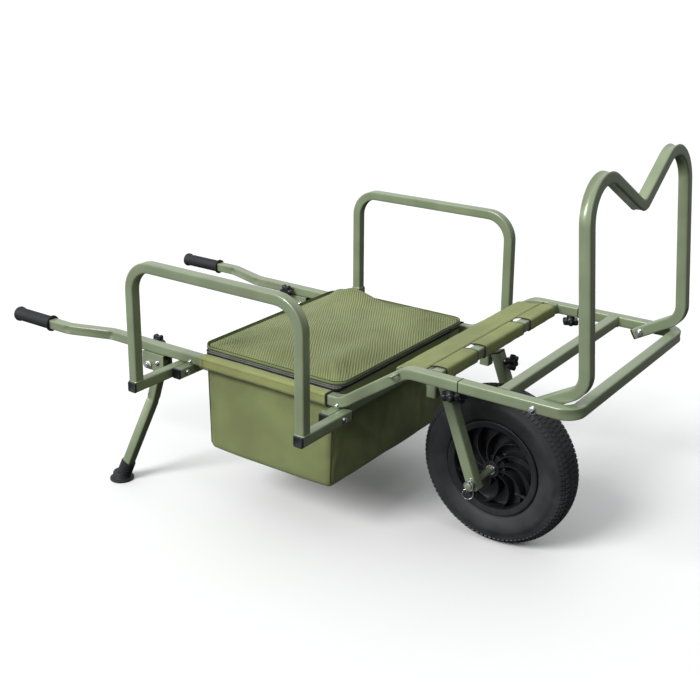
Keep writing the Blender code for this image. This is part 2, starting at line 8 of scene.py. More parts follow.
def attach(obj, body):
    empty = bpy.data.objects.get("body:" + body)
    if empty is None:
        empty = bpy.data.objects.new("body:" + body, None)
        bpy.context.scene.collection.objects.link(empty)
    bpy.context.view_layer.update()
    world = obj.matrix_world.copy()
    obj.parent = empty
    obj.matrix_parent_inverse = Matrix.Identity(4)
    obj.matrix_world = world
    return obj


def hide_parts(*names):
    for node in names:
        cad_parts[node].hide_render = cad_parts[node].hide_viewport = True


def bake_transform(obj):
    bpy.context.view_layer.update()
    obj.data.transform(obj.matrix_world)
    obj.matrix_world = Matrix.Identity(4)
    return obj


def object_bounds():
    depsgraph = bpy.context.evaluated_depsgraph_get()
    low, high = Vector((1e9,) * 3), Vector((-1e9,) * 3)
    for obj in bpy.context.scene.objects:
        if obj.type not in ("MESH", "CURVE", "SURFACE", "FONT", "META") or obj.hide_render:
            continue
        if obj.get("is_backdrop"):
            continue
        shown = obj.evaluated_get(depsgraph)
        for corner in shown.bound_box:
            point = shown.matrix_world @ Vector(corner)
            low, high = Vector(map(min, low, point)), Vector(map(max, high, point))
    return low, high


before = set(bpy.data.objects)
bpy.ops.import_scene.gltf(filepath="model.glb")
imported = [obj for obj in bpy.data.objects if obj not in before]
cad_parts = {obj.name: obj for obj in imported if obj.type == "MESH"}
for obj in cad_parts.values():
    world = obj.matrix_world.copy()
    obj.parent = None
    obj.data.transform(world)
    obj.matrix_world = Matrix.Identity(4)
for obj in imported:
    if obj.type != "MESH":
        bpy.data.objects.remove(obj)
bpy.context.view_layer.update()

# Side rails. Each is one length of 25 mm square steel tube with 1.5 mm walls, drawn over a former
# so that it steps up above the wheel, then cleaned and powder coated. Both ends are open sockets.
AXLE_X = 0.4914
TUBE_HALF = 0.0125
TUBE_CORNER = 0.0034
TUBE_WALL = 0.0015
RAIL_Y = 0.287
RAIL_Z = 0.380
DECK_Z = 0.493
RAIL_END_X = -0.860
SPLIT_X = 0.052
RAIL_BEND = 0.06
SIDES = {"right": -1, "left": 1}
COAT_GREEN = "#7E8A6C"


def linear(code):
    """An sRGB hex colour as the linear values that a shader takes."""
    parts = [int(code[i : i + 2], 16) / 255 for i in (1, 3, 5)]
    return [c / 12.92 if c < 0.04045 else ((c + 0.055) / 1.055) ** 2.4 for c in parts] + [1.0]


def shaded(code, gain):
    """The same colour made lighter or darker."""
    return [c * gain for c in linear(code)[:3]] + [1.0]


def set_node(look, node, inputs):
    """Sets a node's inputs from values, or links them to other nodes' outputs."""
    for key, value in inputs.items():
        if isinstance(value, bpy.types.NodeSocket):
            look.node_tree.links.new(value, node.inputs[key])
        else:
            node.inputs[key].default_value = value
    return node


def add_node(look, kind, inputs, **settings):
    """Adds one node with its settings and links, and returns it."""
    node = look.node_tree.nodes.new("ShaderNode" + kind)
    for key, value in settings.items():
        setattr(node, key, value)
    return set_node(look, node, inputs)


def new_look(name, **values):
    """A material, its surface shader with plain values set, and the place on the object."""
    look = bpy.data.materials.new(name)
    look.use_nodes = True
    shader = look.node_tree.nodes["Principled BSDF"]
    for key, value in values.items():
        shader.inputs[key.replace("_", " ").title().replace("Ior", "IOR")].default_value = value
    place = add_node(look, "TexCoord", {}).outputs["Object"]
    return look, shader, place


def blotched(look, place, size, dark, light):
    """A colour that wanders between two close shades over patches of the given size in metres."""
    cloud = add_node(look, "TexNoise", {"Vector": place, "Scale": 1 / size, "Detail": 3.0})
    shares = {"Value": cloud.outputs["Fac"], "From Min": 0.36, "From Max": 0.64}
    share = add_node(look, "MapRange", shares).outputs[0]
    mixed = add_node(look, "Mix", {0: share, 6: dark, 7: light}, data_type="RGBA")
    return mixed.outputs[2], share


def finish(name, code, patch, shades, gloss, grain=None, **values):
    """A finish whose shade and roughness drift from patch to patch. Its grain, if it has one, is
    given as size, detail, strength and depth."""
    look, shader, place = new_look(name, **values)
    dark, light = (shaded(code, gain) for gain in shades)
    colour, share = blotched(look, place, patch, dark, light)
    rough = add_node(look, "MapRange", {"Value": share, "To Min": gloss[0], "To Max": gloss[1]})
    set_node(look, shader, {"Base Color": colour, "Roughness": rough.outputs[0]})
    if grain:
        size, detail, strength, depth = grain
        skin = add_node(look, "TexNoise", {"Vector": place, "Scale": 1 / size, "Detail": detail})
        raised = {"Height": skin.outputs["Fac"], "Strength": strength, "Distance": depth}
        set_node(look, shader, {"Normal": add_node(look, "Bump", raised).outputs["Normal"]})
    return look


def add_object(name, data):
    """A new object in the scene."""
    made = bpy.data.objects.new(name, data)
    bpy.context.scene.collection.objects.link(made)
    return made


def square_section(mesh, half_wide, half_deep, corner):
    """A capped ring on the XY plane, moved to a rounded square that keeps points on its flats."""
    count = 28
    ring = bmesh.ops.create_circle(mesh, cap_ends=True, segments=count, radius=1)["verts"]
    for vert in ring:
        index = round(math.atan2(vert.co.y, vert.co.x) / math.tau * count) % count
        quarter, step = divmod(index, 7)
        spots = []
        for q in (quarter, (quarter + 1) % 4):
            sx = (1, -1, -1, 1)[q]
            sy = (1, 1, -1, -1)[q]
            spots.append(Vector((sx * (half_wide - corner), sy * (half_deep - corner), 0)))
        turn = math.radians(90 * quarter + 30 * min(step, 3))
        centre = spots[0].lerp(spots[1], max(step - 3, 0) / 4)
        vert.co = centre + corner * Vector((math.cos(turn), math.sin(turn), 0))
    return next(iter(ring[0].link_faces))


def aim(mesh, verts, place, ahead, side=None):
    """Sets what was made on the XY plane square to a direction, with X along the side given."""
    ahead = Vector(ahead).normalized()
    across = Vector(side or ((1, 0, 0) if abs(ahead.x) < 0.9 else (0, 0, 1)))
    across = (across - ahead * ahead.dot(across)).normalized()
    turn = Matrix((across, ahead.cross(across), ahead)).transposed().to_4x4()
    bmesh.ops.transform(mesh, matrix=Matrix.Translation(place) @ turn, verts=verts)


def join(mesh, part):
    """Adds another mesh's shape to this one, and returns the points it added."""
    data = bpy.data.meshes.new("part")
    part.to_mesh(data)
    part.free()
    before = len(mesh.verts)
    mesh.from_mesh(data)
    bpy.data.meshes.remove(data)
    mesh.verts.ensure_lookup_table()
    return mesh.verts[before:]


def carry_on(mesh, edges, move=(0, 0, 0)):
    """Extrudes edges and moves the new ones. Returns them and their points."""
    made = bmesh.ops.extrude_edge_only(mesh, edges=edges)["geom"]
    fresh = [part for part in made if isinstance(part, bmesh.types.BMEdge)]
    verts = list({vert for edge in fresh for vert in edge.verts})
    bmesh.ops.translate(mesh, verts=verts, vec=move)
    return fresh, verts


def push(mesh, face, move, scale=1.0, first=False):
    """Extrudes a face, moves it, and narrows it about its centre. Returns the new face."""
    made = bmesh.ops.extrude_face_region(mesh, geom=[face])["geom"]
    if face.is_valid and not first:
        bmesh.ops.delete(mesh, geom=[face], context="FACES_ONLY")
    fresh = next(part for part in made if isinstance(part, bmesh.types.BMFace))
    bmesh.ops.translate(mesh, verts=fresh.verts[:], vec=move)
    if scale != 1.0:
        spot = Matrix.Translation(-fresh.calc_center_median())
        sized = Matrix.Scale(scale, 4)
        bmesh.ops.transform(mesh, matrix=sized, verts=fresh.verts[:], space=spot)
    return fresh


def bend(mesh, face, centre, axis, angle, radius, crush):
    """Spins a face round a former. The tube's inner wall dishes in, and its outer wall a little."""
    known = set(mesh.verts)
    steps = max(4, round(angle / math.radians(7)))
    start = face.calc_center_median() - centre
    made = bmesh.ops.spin(
        mesh, geom=[face], cent=centre, axis=axis, dvec=(0, 0, 0), angle=angle, steps=steps,
        use_merge=False, use_normal_flip=False, use_duplicate=False,
    )
    if face.is_valid:
        bmesh.ops.delete(mesh, geom=[face], context="FACES_ONLY")
    for vert in set(mesh.verts) - known:
        beside = (vert.co - centre).dot(axis)
        spoke = vert.co - centre - axis * beside
        share = start.angle(spoke) / angle
        depth = (radius - spoke.length) / TUBE_HALF
        flat = max(0.0, 1 - (beside / (TUBE_HALF - TUBE_CORNER * 0.6)) ** 2)
        dish = crush * abs(depth) ** 3 * flat * math.sin(math.pi * min(share, 1)) ** 0.8
        vert.co += spoke.normalized() * (dish if depth > 0 else -0.9 * dish)
    return next(part for part in made["geom_last"] if isinstance(part, bmesh.types.BMFace))


def drawn_tube(corners, bends, side, half=(TUBE_HALF, TUBE_HALF), crush=0.0030):
    """A square tube along straight runs and bends. Returns the mesh and its two end faces."""
    corners = [Vector(c) for c in corners]
    mesh = bmesh.new()
    first = square_section(mesh, *half, TUBE_CORNER)
    ahead = (corners[1] - corners[0]).normalized()
    aim(mesh, mesh.verts, corners[0], ahead, side)
    last, here = first, corners[0]
    for corner, onward, radius in zip(corners[1:-1], corners[2:], bends):
        after = (onward - corner).normalized()
        angle = ahead.angle(after)
        inward = (after - ahead * ahead.dot(after)).normalized()
        start = corner - ahead * radius * math.tan(angle / 2)
        last = push(mesh, last, start - here, first=last is first)
        centre = start + inward * radius
        axis = ahead.cross(inward)
        last = bend(mesh, last, centre, axis, angle, radius, crush)
        here = centre + Matrix.Rotation(angle, 3, axis) @ (start - centre)
        ahead = after
    last = push(mesh, last, corners[-1] - here, first=last is first)
    return mesh, first, last


def open_socket(mesh, face, depth):
    """Hollows a tube's end, so that its wall shows and another tube's neck can slide in."""
    bmesh.ops.recalc_face_normals(mesh, faces=mesh.faces)
    inward = -face.normal.copy()
    bmesh.ops.inset_region(mesh, faces=[face], thickness=TUBE_WALL, use_even_offset=True)
    return push(mesh, face, inward * depth)


def set_piece(name, mesh, look, body, stands_for=(), crease=42, wall=None):
    """Finishes a mesh made in cart coordinates, which count X from the axle, as a piece that rides.
    A cloth piece is given a wall: its thickness, and the side of the mesh that it grows to."""
    bmesh.ops.recalc_face_normals(mesh, faces=mesh.faces)
    bmesh.ops.translate(mesh, verts=mesh.verts, vec=(AXLE_X, 0, 0))
    data = bpy.data.meshes.new(name)
    mesh.to_mesh(data)
    mesh.free()
    data.materials.append(look)
    data.shade_smooth()
    data.set_sharp_from_angle(angle=math.radians(crease))
    piece = add_object(name, data)
    if wall:
        cloth = piece.modifiers.new("cloth", "SOLIDIFY")
        cloth.thickness, cloth.offset = wall
    if body:
        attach(piece, body)
    if stands_for:
        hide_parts(*stands_for)
    return piece


def steel_piece(mesh, node, body="frame", name=None):
    """A coated steel piece that stands for one node."""
    set_piece(name or node + "_steel", mesh, coat, body, [node])


# Satin polyester powder coat with a little metal flake. It levels as it bakes, which leaves a
# faint orange peel, about 2 mm from crest to crest.
coat = finish(
    "powder_coated_steel", COAT_GREEN, 0.07, (0.93, 1.06), (0.36, 0.46), (0.002, 1.0, 0.10, 0.0003),
    ior=1.5, metallic=0.2, coat_weight=0.55, coat_roughness=0.16,
)
for label, sign in SIDES.items():
    y = sign * RAIL_Y
    path = [(RAIL_END_X, y, RAIL_Z), (-0.245, y, RAIL_Z), (-0.075, y, DECK_Z), (SPLIT_X, y, DECK_Z)]
    steel, rear_end, front_end = drawn_tube(path, (RAIL_BEND, RAIL_BEND), (0, 1, 0))
    open_socket(steel, rear_end, 0.210)
    open_socket(steel, front_end, 0.106)
    steel_piece(steel, "rail_" + label, name="rail_tube_" + label)

# Cross tubes. Two run under the rails and carry the side guards, one is wrapped by the sling, and
# one carries the wheel fork on two hanging posts. They are cut square, and the upper two are
# welded in.
CROSS_Z = 0.3547
CROSS_HALF = 0.3405
CROSS_X = {"rear": -0.700, "front": -0.257}
SLING_TUBE_X = -0.015
HANGER_X, HANGER_Z = -0.100, 0.4764
POST_X, POST_LOW_Z = -0.112, 0.372
FORK_Y = 0.122
BETWEEN_RAILS = RAIL_Y - TUBE_HALF - 0.0003
BEAD = 0.0019  # radius of a weld bead


def open_section(half_wide, half_deep, corner):
    """The same rounded square as a bare ring of edges."""
    mesh = bmesh.new()
    face = square_section(mesh, half_wide, half_deep, corner)
    bmesh.ops.delete(mesh, geom=[face], context="FACES_ONLY")
    return mesh


def cross_tube(x, z, half=BETWEEN_RAILS):
    """A straight tube across the cart."""
    return drawn_tube([(x, -half, z), (x, half, z)], (), (1, 0, 0))[0]


def weld(mesh, place, ahead, side, half=(TUBE_HALF, TUBE_HALF)):
    """A weld bead round the foot of a square tube, rippled where the weld pool froze."""
    rim = open_section(*half, TUBE_CORNER)
    loops = [rim.edges[:]]
    spots = [v.co.copy() for v in rim.verts]
    sides = 6
    for k in range(1, sides):
        loops.append(carry_on(rim, loops[-1])[0])
    bmesh.ops.bridge_loops(rim, edges=loops[0] + loops[-1])
    rim.verts.ensure_lookup_table()
    for index, vert in enumerate(rim.verts):
        spot = spots[index % len(spots)]
        turn = math.tau * (index // len(spots)) / sides
        ripple = BEAD * (1 + 0.35 * noise.noise(spot * 420 + Vector(place) * 97))
        out = spot.normalized() * ripple * math.cos(turn)
        vert.co = spot + out + Vector((0, 0, ripple * math.sin(turn)))
    aim(rim, rim.verts, place, ahead, side)
    join(mesh, rim)


for place, x in CROSS_X.items():
    steel_piece(cross_tube(x, CROSS_Z, CROSS_HALF), place + "_cross_tube")
steel_piece(cross_tube(SLING_TUBE_X, DECK_Z), "sling_cross_tube", name="sling_tube_steel")
steel_piece(cross_tube(HANGER_X, HANGER_Z), "fork_hanger")
beads = bmesh.new()
for label, sign in SIDES.items():
    ends = [(POST_X, sign * FORK_Y, z) for z in (HANGER_Z - TUBE_HALF + 0.001, POST_LOW_Z)]
    steel, _, low_end = drawn_tube(ends, (), (1, 0, 0))
    open_socket(steel, low_end, 0.060)
    set_piece("hanging_post_" + label, steel, coat, "frame")
    weld(beads, (POST_X, sign * FORK_Y, HANGER_Z - TUBE_HALF), (0, 0, 1), (1, 0, 0))
    for x, z in ((SLING_TUBE_X, DECK_Z), (HANGER_X, HANGER_Z)):
        weld(beads, (x, sign * BETWEEN_RAILS, z), (0, 1, 0), (1, 0, 0))
set_piece("frame_welds", beads, coat, "frame")

# Front loop. One tube bent round twice makes the U, its narrower necks slide into the rails, and
# a bar welded between its arms makes the platform. Star knobs below the rails lock it.
LOOP_X = 0.299
LOOP_BEND = 0.032
BAR_X = 0.143
NECK_HALF = 0.0107


def neck(mesh, face, direction, length):
    """Swages a tube's end down to the size that slides into the next tube."""
    fresh = push(mesh, face, Vector(direction) * 0.0004, NECK_HALF / TUBE_HALF)
    return push(mesh, fresh, Vector(direction) * length)


start_x = SPLIT_X + 0.0003
path = [(start_x, RAIL_Y, DECK_Z), (LOOP_X, RAIL_Y, DECK_Z)]
path += [(x, -y, z) for x, y, z in reversed(path)]
steel, near_end, far_end = drawn_tube(path, (LOOP_BEND, LOOP_BEND), (0, 0, 1), crush=0.0022)
neck(steel, near_end, (-1, 0, 0), 0.098)
neck(steel, far_end, (-1, 0, 0), 0.098)
steel_piece(steel, "front_loop", "front_loop")
steel = cross_tube(BAR_X, DECK_Z)
for sign in (-1, 1):
    weld(steel, (BAR_X, sign * BETWEEN_RAILS, DECK_Z), (0, 1, 0), (1, 0, 0))
steel_piece(steel, "platform_bar", "front_loop")

# Front rest. One tube bent five times on each half makes an M that leans back a little. It turns
# on two bolts through the loop's arms. The tight bends dish the tube's flats deeply.
REST_Y = 0.259
REST_END = (0.205, 0.4802)
REST_HEEL = (0.3116, 0.5399)
REST_LEAN = 0.064
REST_SHOULDER_Z = 0.996
REST_VALLEY_Z = 0.8466
REST_BENDS = (0.047, 0.080, 0.035, 0.080, 0.047)
REST_PIVOT = (0.219, 0.488)


def leaning(y, height):
    """A point of the rest, whose plane leans back with height."""
    return (REST_HEEL[0] - REST_LEAN * (height - REST_HEEL[1]), y, height)


half_path = [(REST_END[0], REST_Y, REST_END[1]), leaning(REST_Y, REST_HEEL[1])]
half_path.append(leaning(REST_Y, REST_SHOULDER_Z))
path = half_path + [leaning(0, REST_VALLEY_Z)] + [(x, -y, z) for x, y, z in reversed(half_path)]
steel, _, _ = drawn_tube(path, REST_BENDS, (0, 1, 0), crush=0.0072)
steel_piece(steel, "front_rest", "front_rest")

# Side guards. A hoop stands on two arms, welded at its feet. The arms turn on bolts through the
# cross tubes, so that each guard folds inwards over the load.
GUARD_Y = 0.449
GUARD_Z = 0.6545
GUARD_BEND = 0.065
ARM_IN_Y, ARM_OUT_Y = 0.288, 0.4615
GUARD_PIVOT_Y = 0.318
ARM_X = {"rear": CROSS_X["rear"] - 0.0253, "front": CROSS_X["front"] + 0.0253}
for label, sign in SIDES.items():
    body = "guard_" + label
    foot = CROSS_Z + TUBE_HALF + 0.0003
    path = [(ARM_X["rear"], sign * GUARD_Y, z) for z in (foot, GUARD_Z)]
    path += [(ARM_X["front"], sign * GUARD_Y, z) for z in (GUARD_Z, foot)]
    steel, _, _ = drawn_tube(path, (GUARD_BEND, GUARD_BEND), (0, 1, 0))
    for x in ARM_X.values():
        weld(steel, (x, sign * GUARD_Y, foot), (0, 0, 1), (1, 0, 0))
    steel_piece(steel, "guard_hoop_" + label, body, "guard_hoop_steel_" + label)
    for place, x in ARM_X.items():
        ends = [(x, sign * ARM_IN_Y, CROSS_Z), (x, sign * ARM_OUT_Y, CROSS_Z)]
        steel_piece(drawn_tube(ends, (), (1, 0, 0))[0], f"guard_arm_{place}_{label}", body)

# Handles. Each tube slides in its rail on a swaged neck and steps out to give the hands room.
HANDLE_Y = RAIL_Y + 0.040
GRIP_FRONT_X, GRIP_END_X = -1.165, -1.305
for label, sign in SIDES.items():
    y = sign * RAIL_Y
    path = [(RAIL_END_X - 0.0003, y, RAIL_Z), (-0.976, y, RAIL_Z)]
    path += [(x, sign * HANDLE_Y, RAIL_Z) for x in (-1.100, GRIP_FRONT_X - 0.008)]
    steel, start, _ = drawn_tube(path, (0.07, 0.07), (0, 1, 0), crush=0.0042)
    neck(steel, start, (1, 0, 0), 0.198)
    steel_piece(steel, "handle_tube_" + label, "handle_" + label)

# Rear legs. Each tube bends back and outwards, and turns on a bolt in its bracket.
LEG_PIVOT = (-0.806, 0.344)
LEG_BEND = (-0.842, 0.235)
FOOT = (-0.932, 0.325)
leg_lines = {}
for label, sign in SIDES.items():
    pivot = Vector((LEG_PIVOT[0], sign * RAIL_Y, LEG_PIVOT[1]))
    knee = Vector((LEG_BEND[0], sign * RAIL_Y, LEG_BEND[1]))
    ground = Vector((FOOT[0], sign * FOOT[1], 0))
    down = (ground - knee).normalized()
    leg_lines[label] = (ground, down)
    top = pivot + (pivot - knee).normalized() * 0.010
    steel, _, _ = drawn_tube([top, knee, ground - down * 0.020], (0.1,), (0, 1, 0), crush=0.0034)
    steel_piece(steel, "leg_tube_" + label, "leg_" + label)

# Fork legs. Two tubes, a little wider across the cart than along it, reach from the axle to the
# hanging posts, where a star knob clamps each one.
AXLE_Z = 0.190
FORK_TOP = (-0.081, 0.408)
FORK_HALF = 0.015  # half the tube's width across the cart
STUD_Z = 0.392
fork_top = Vector((FORK_TOP[0], 0, FORK_TOP[1]))
fork_lean = (fork_top - Vector((0, 0, AXLE_Z))).normalized()
for label, sign in SIDES.items():
    shift = Vector((0, sign * FORK_Y, 0))
    ends = [Vector((0, 0, AXLE_Z)) - fork_lean * 0.015 + shift, fork_top + shift]
    steel, low_end, _ = drawn_tube(ends, (), (1, 0, 0), (TUBE_HALF, FORK_HALF))
    open_socket(steel, low_end, 0.003)
    steel_piece(steel, "fork_leg_" + label)

# End plugs. Black polyethylene plugs with a thick square head, tapped into every open tube end.
PLUG_THICK = 0.0042


def moulded(name, code, roughness, grain=0.0009, depth=0.00010):
    """A moulded polymer. The mould's fine spark-eroded grain breaks up its gloss."""
    gloss = (roughness - 0.05, roughness + 0.05)
    return finish(name, code, 0.03, (0.85, 1.2), gloss, (grain, 2.0, 0.35, depth), ior=1.5)


def plug_head(mesh, place, axis, side, half=(TUBE_HALF, TUBE_HALF)):
    """A square head with rounded edges, set on a tube's end."""
    head = bmesh.new()
    face = square_section(head, half[0] + 0.0002, half[1] + 0.0002, TUBE_CORNER)
    face = push(head, face, (0, 0, PLUG_THICK - 0.0014), first=True)
    for lift, scale in ((0.0009, 0.965), (0.0005, 0.93), (0.0, 0.80), (-0.0004, 0.94)):
        face = push(head, face, (0, 0, lift), scale)
    aim(head, head.verts, place, axis, side)
    join(mesh, head)


nylon = moulded("moulded_polyethylene", "#1B1C20", 0.42)
for label, sign in SIDES.items():
    for place, x in CROSS_X.items():
        plugs = bmesh.new()
        plug_head(plugs, (x, sign * (CROSS_HALF + 0.0003), CROSS_Z), (0, sign, 0), (1, 0, 0))
        name = f"{place}_cross_cap_{label}"
        set_piece(name + "_moulded", plugs, nylon, "frame", [name])
        arm_x = ARM_X[place]
        plugs = bmesh.new()
        plug_head(plugs, (arm_x, sign * (ARM_OUT_Y + 0.0003), CROSS_Z), (0, sign, 0), (1, 0, 0))
        plug_head(plugs, (arm_x, sign * (ARM_IN_Y - 0.0003), CROSS_Z), (0, -sign, 0), (1, 0, 0))
        name = f"guard_cap_{place}_{label}"
        set_piece(name + "_moulded", plugs, nylon, "guard_" + label, [name])
    plugs = bmesh.new()
    end = fork_top + Vector((0, sign * FORK_Y, 0)) + fork_lean * 0.0003
    plug_head(plugs, end, fork_lean, (1, 0, 0), (TUBE_HALF, FORK_HALF))
    set_piece("fork_leg_plug_" + label, plugs, nylon, "frame")
plugs = bmesh.new()
rest_back = (Vector((REST_END[0], 0, REST_END[1])) - Vector(leaning(0, REST_HEEL[1]))).normalized()
for sign in SIDES.values():
    end = Vector((REST_END[0], sign * REST_Y, REST_END[1])) + rest_back * 0.0003
    plug_head(plugs, end, rest_back, (0, 1, 0))
set_piece("rest_plugs", plugs, nylon, "front_rest")

# Leg brackets. Each is 3 mm steel plate folded to a U, welded below the rail and coated with it.
BRACKET_X = (-0.857, -0.785)
BRACKET_LOW_Z = 0.322
STOP_PIN = (-0.834, 0.336)
PLATE = 0.003


def round_off(mesh, edges, radius, segments):
    """Rounds edges over."""
    bmesh.ops.bevel(
        mesh, geom=edges, offset=radius, affect="EDGES", segments=segments, profile=0.5, material=-1
    )


for label, sign in SIDES.items():
    y, top = sign * RAIL_Y, RAIL_Z - TUBE_HALF - 0.0003
    inside = TUBE_HALF + 0.0008
    outside = inside + PLATE
    steel = bmesh.new()
    low = BRACKET_LOW_Z
    outline = [(-outside, low), (-outside, top), (outside, top), (outside, low)]
    outline += [(inside, low), (inside, top - PLATE), (-inside, top - PLATE), (-inside, low)]
    corners = [steel.verts.new((BRACKET_X[0], y + across, z)) for across, z in outline]
    face = steel.faces.new(corners)
    push(steel, face, (BRACKET_X[1] - BRACKET_X[0], 0, 0), first=True)
    low_corners = []
    for edge in steel.edges:
        start, end = (vert.co for vert in edge.verts)
        if max(abs(start.z - low), abs(end.z - low), abs(start.x - end.x)) < 1e-5:
            low_corners.append(edge)
    round_off(steel, low_corners, 0.012, 5)
    name = "leg_bracket_" + label
    bracket = set_piece(name + "_plate", steel, coat, "frame", [name], 30)
    rounding = bracket.modifiers.new("folded_edges", "BEVEL")
    rounding.width, rounding.segments, rounding.limit_method = 0.0007, 2, "ANGLE"

# Screws, nuts and washers. Machine screws of mild steel, zinc plated and clear passivated, with
# pan heads and a cross recess, and hexagon nuts on plain washers.
SHANK = 0.004


def mm(*numbers):
    """A profile from pairs of numbers in millimetres: along the axis, then out from it."""
    return [(a / 1000, b / 1000) for a, b in zip(numbers[::2], numbers[1::2])]


def lathe(mesh, profile, start, axis, steps=32, ring=False):
    """Spins a profile of (distance along the axis, radius) once round the axis."""
    turned = bmesh.new()
    dots = [turned.verts.new((radius, 0, along)) for along, radius in profile]
    lines = [turned.edges.new(pair) for pair in zip(dots, dots[1:])]
    if ring:
        lines.append(turned.edges.new((dots[-1], dots[0])))
    bmesh.ops.spin(
        turned, geom=dots + lines, cent=(0, 0, 0), axis=(0, 0, 1), dvec=(0, 0, 0),
        angle=math.tau, steps=steps, use_merge=True, use_normal_flip=False, use_duplicate=False,
    )
    bmesh.ops.remove_doubles(turned, verts=turned.verts, dist=1e-6)
    aim(turned, turned.verts, start, axis)
    return join(mesh, turned)


def pan_head(mesh, seat, axis, radius=0.0074, height=0.0042):
    """A domed head with a cross recess, on a washer."""
    lathe(mesh, [(0, SHANK), (0, radius + 0.0008), (0.0011, radius + 0.0008), (0.0011, SHANK)],
          seat, axis, ring=True)
    dome = [(0.0011, 0.0), (0.0011, radius * 0.9), (0.0022, radius * 0.9)]
    for step in range(1, 6):
        turn = math.radians(90 * step / 7)
        dome.append((0.0022 + height * 0.75 * math.sin(turn), radius * 0.9 * math.cos(turn)))
    top = dome[-1][0]
    dome += [(top + 0.0001, 0.0030), (top - 0.0014, 0.0022), (top - 0.0015, 0.0)]
    verts = lathe(mesh, dome, seat, axis)
    ahead = Vector(axis).normalized()
    side = Vector((0, 0, 1)) if abs(ahead.z) < 0.9 else Vector((1, 0, 0))
    for vert in verts:
        reach = vert.co - Vector(seat)
        spoke = reach - ahead * reach.dot(ahead)
        if 0.0015 < spoke.length < 0.0034:
            turn = math.atan2(spoke.dot(side.cross(ahead)), spoke.dot(side))
            vert.co -= spoke * (0.34 - 0.34 * math.cos(4 * turn))


def hex_nut(mesh, seat, axis, across=0.0130, height=0.0062):
    """A washer, a chamfered hexagon nut, and the end of the screw through it."""
    lathe(mesh, [(0, SHANK), (0, 0.0088), (0.0012, 0.0088), (0.0012, SHANK)], seat, axis, ring=True)
    radius = across / 2 / math.cos(math.radians(30))
    base, top = 0.0013, 0.0013 + height
    profile = [(base, SHANK), (base, radius * 0.9), (base + 0.0006, radius)]
    profile += [(top - 0.0006, radius), (top, radius * 0.9), (top, SHANK)]
    lathe(mesh, profile, seat, axis, steps=6, ring=True)
    end = top + 0.0018
    tip = [(end - 0.0006, SHANK - 0.0001), (end, 0.0033), (end, 0)]
    lathe(mesh, [(0, 0), (0, SHANK - 0.0001)] + tip, seat, axis, steps=20)


def screw_through(mesh, seat, far, radius=0.0074):
    """A screw from its head's seat to its nut's seat on the far side."""
    seat, far = Vector(seat), Vector(far)
    axis = (seat - far).normalized()
    pan_head(mesh, seat + axis * 0.0002, axis, radius)
    lathe(mesh, [(0, 0), (0, SHANK - 0.0002), ((seat - far).length, SHANK - 0.0002),
                 ((seat - far).length, 0)], far, axis, steps=16)
    hex_nut(mesh, far - axis * 0.0002, -axis)


# The zinc's crystals leave faint clouds in its gloss.
zinc = finish("bright_zinc_plate", "#D5D8DA", 0.004, (0.82, 1.0), (0.18, 0.32), metallic=1.0)
for label, sign in SIDES.items():
    pivot_y = sign * GUARD_PIVOT_Y
    bolts = []
    for place, x in CROSS_X.items():
        ahead_x, behind_x = max(x, ARM_X[place]) + TUBE_HALF, min(x, ARM_X[place]) - TUBE_HALF
        seats = (ahead_x, pivot_y, CROSS_Z), (behind_x, pivot_y, CROSS_Z)
        bolts.append((f"guard_bolt_{place}_{label}", "frame", *seats, 0.0074))
    for name, body, (x, z), outer, inner, radius in (
        ("rest_bolt_", "front_loop", REST_PIVOT, RAIL_Y + TUBE_HALF, REST_Y - TUBE_HALF, 0.0082),
        ("leg_bolt_", "frame", LEG_PIVOT, RAIL_Y + outside, RAIL_Y - outside, 0.0074),
    ):
        bolts.append((name + label, body, (x, sign * outer, z), (x, sign * inner, z), radius))
    for name, body, seat, far, radius in bolts:
        screws = bmesh.new()
        screw_through(screws, seat, far, radius)
        set_piece(name + "_zinc", screws, zinc, body, [name])
    # Small screws hold the rails down on the cross tubes.
    screws = bmesh.new()
    for x in CROSS_X.values():
        seat = (x + 0.004, sign * (RAIL_Y + TUBE_HALF + 0.0002), 0.3725)
        pan_head(screws, seat, (0, sign, 0), 0.0052)
    set_piece("rail_screws_" + label, screws, zinc, "frame")

# Stop pins. A turned zinc pin with a white nylon collar drops through each bracket behind the
# leg.
white_nylon = moulded("natural_nylon", "#D9D9D4", 0.45)
for label, sign in SIDES.items():
    seat = (STOP_PIN[0], sign * (RAIL_Y + outside + 0.0003), STOP_PIN[1])
    pin = bmesh.new()
    profile = mm(
        -35, 0, -35, 2.6, -33.5, 3.9, 5.2, 3.9, 5.2, 6.2, 6.6, 7, 11.2, 7, 12.5, 5.8, 12.5, 0
    )
    lathe(pin, profile, seat, (0, sign, 0))
    name = "stop_pin_" + label
    set_piece(name + "_zinc", pin, zinc, name, [name])
    collar = bmesh.new()
    profile = mm(0.4, 4.1, 0.4, 8.2, 1.2, 8.9, 4, 8.9, 5, 7.8, 5, 4.1)
    lathe(collar, profile, seat, (0, sign, 0), ring=True)
    set_piece(name + "_collar", collar, white_nylon, name)

# Star knobs. Six-lobed glass-filled nylon heads, moulded over zinc studs, that are screwed up by
# hand.
KNOB_R = 0.0175


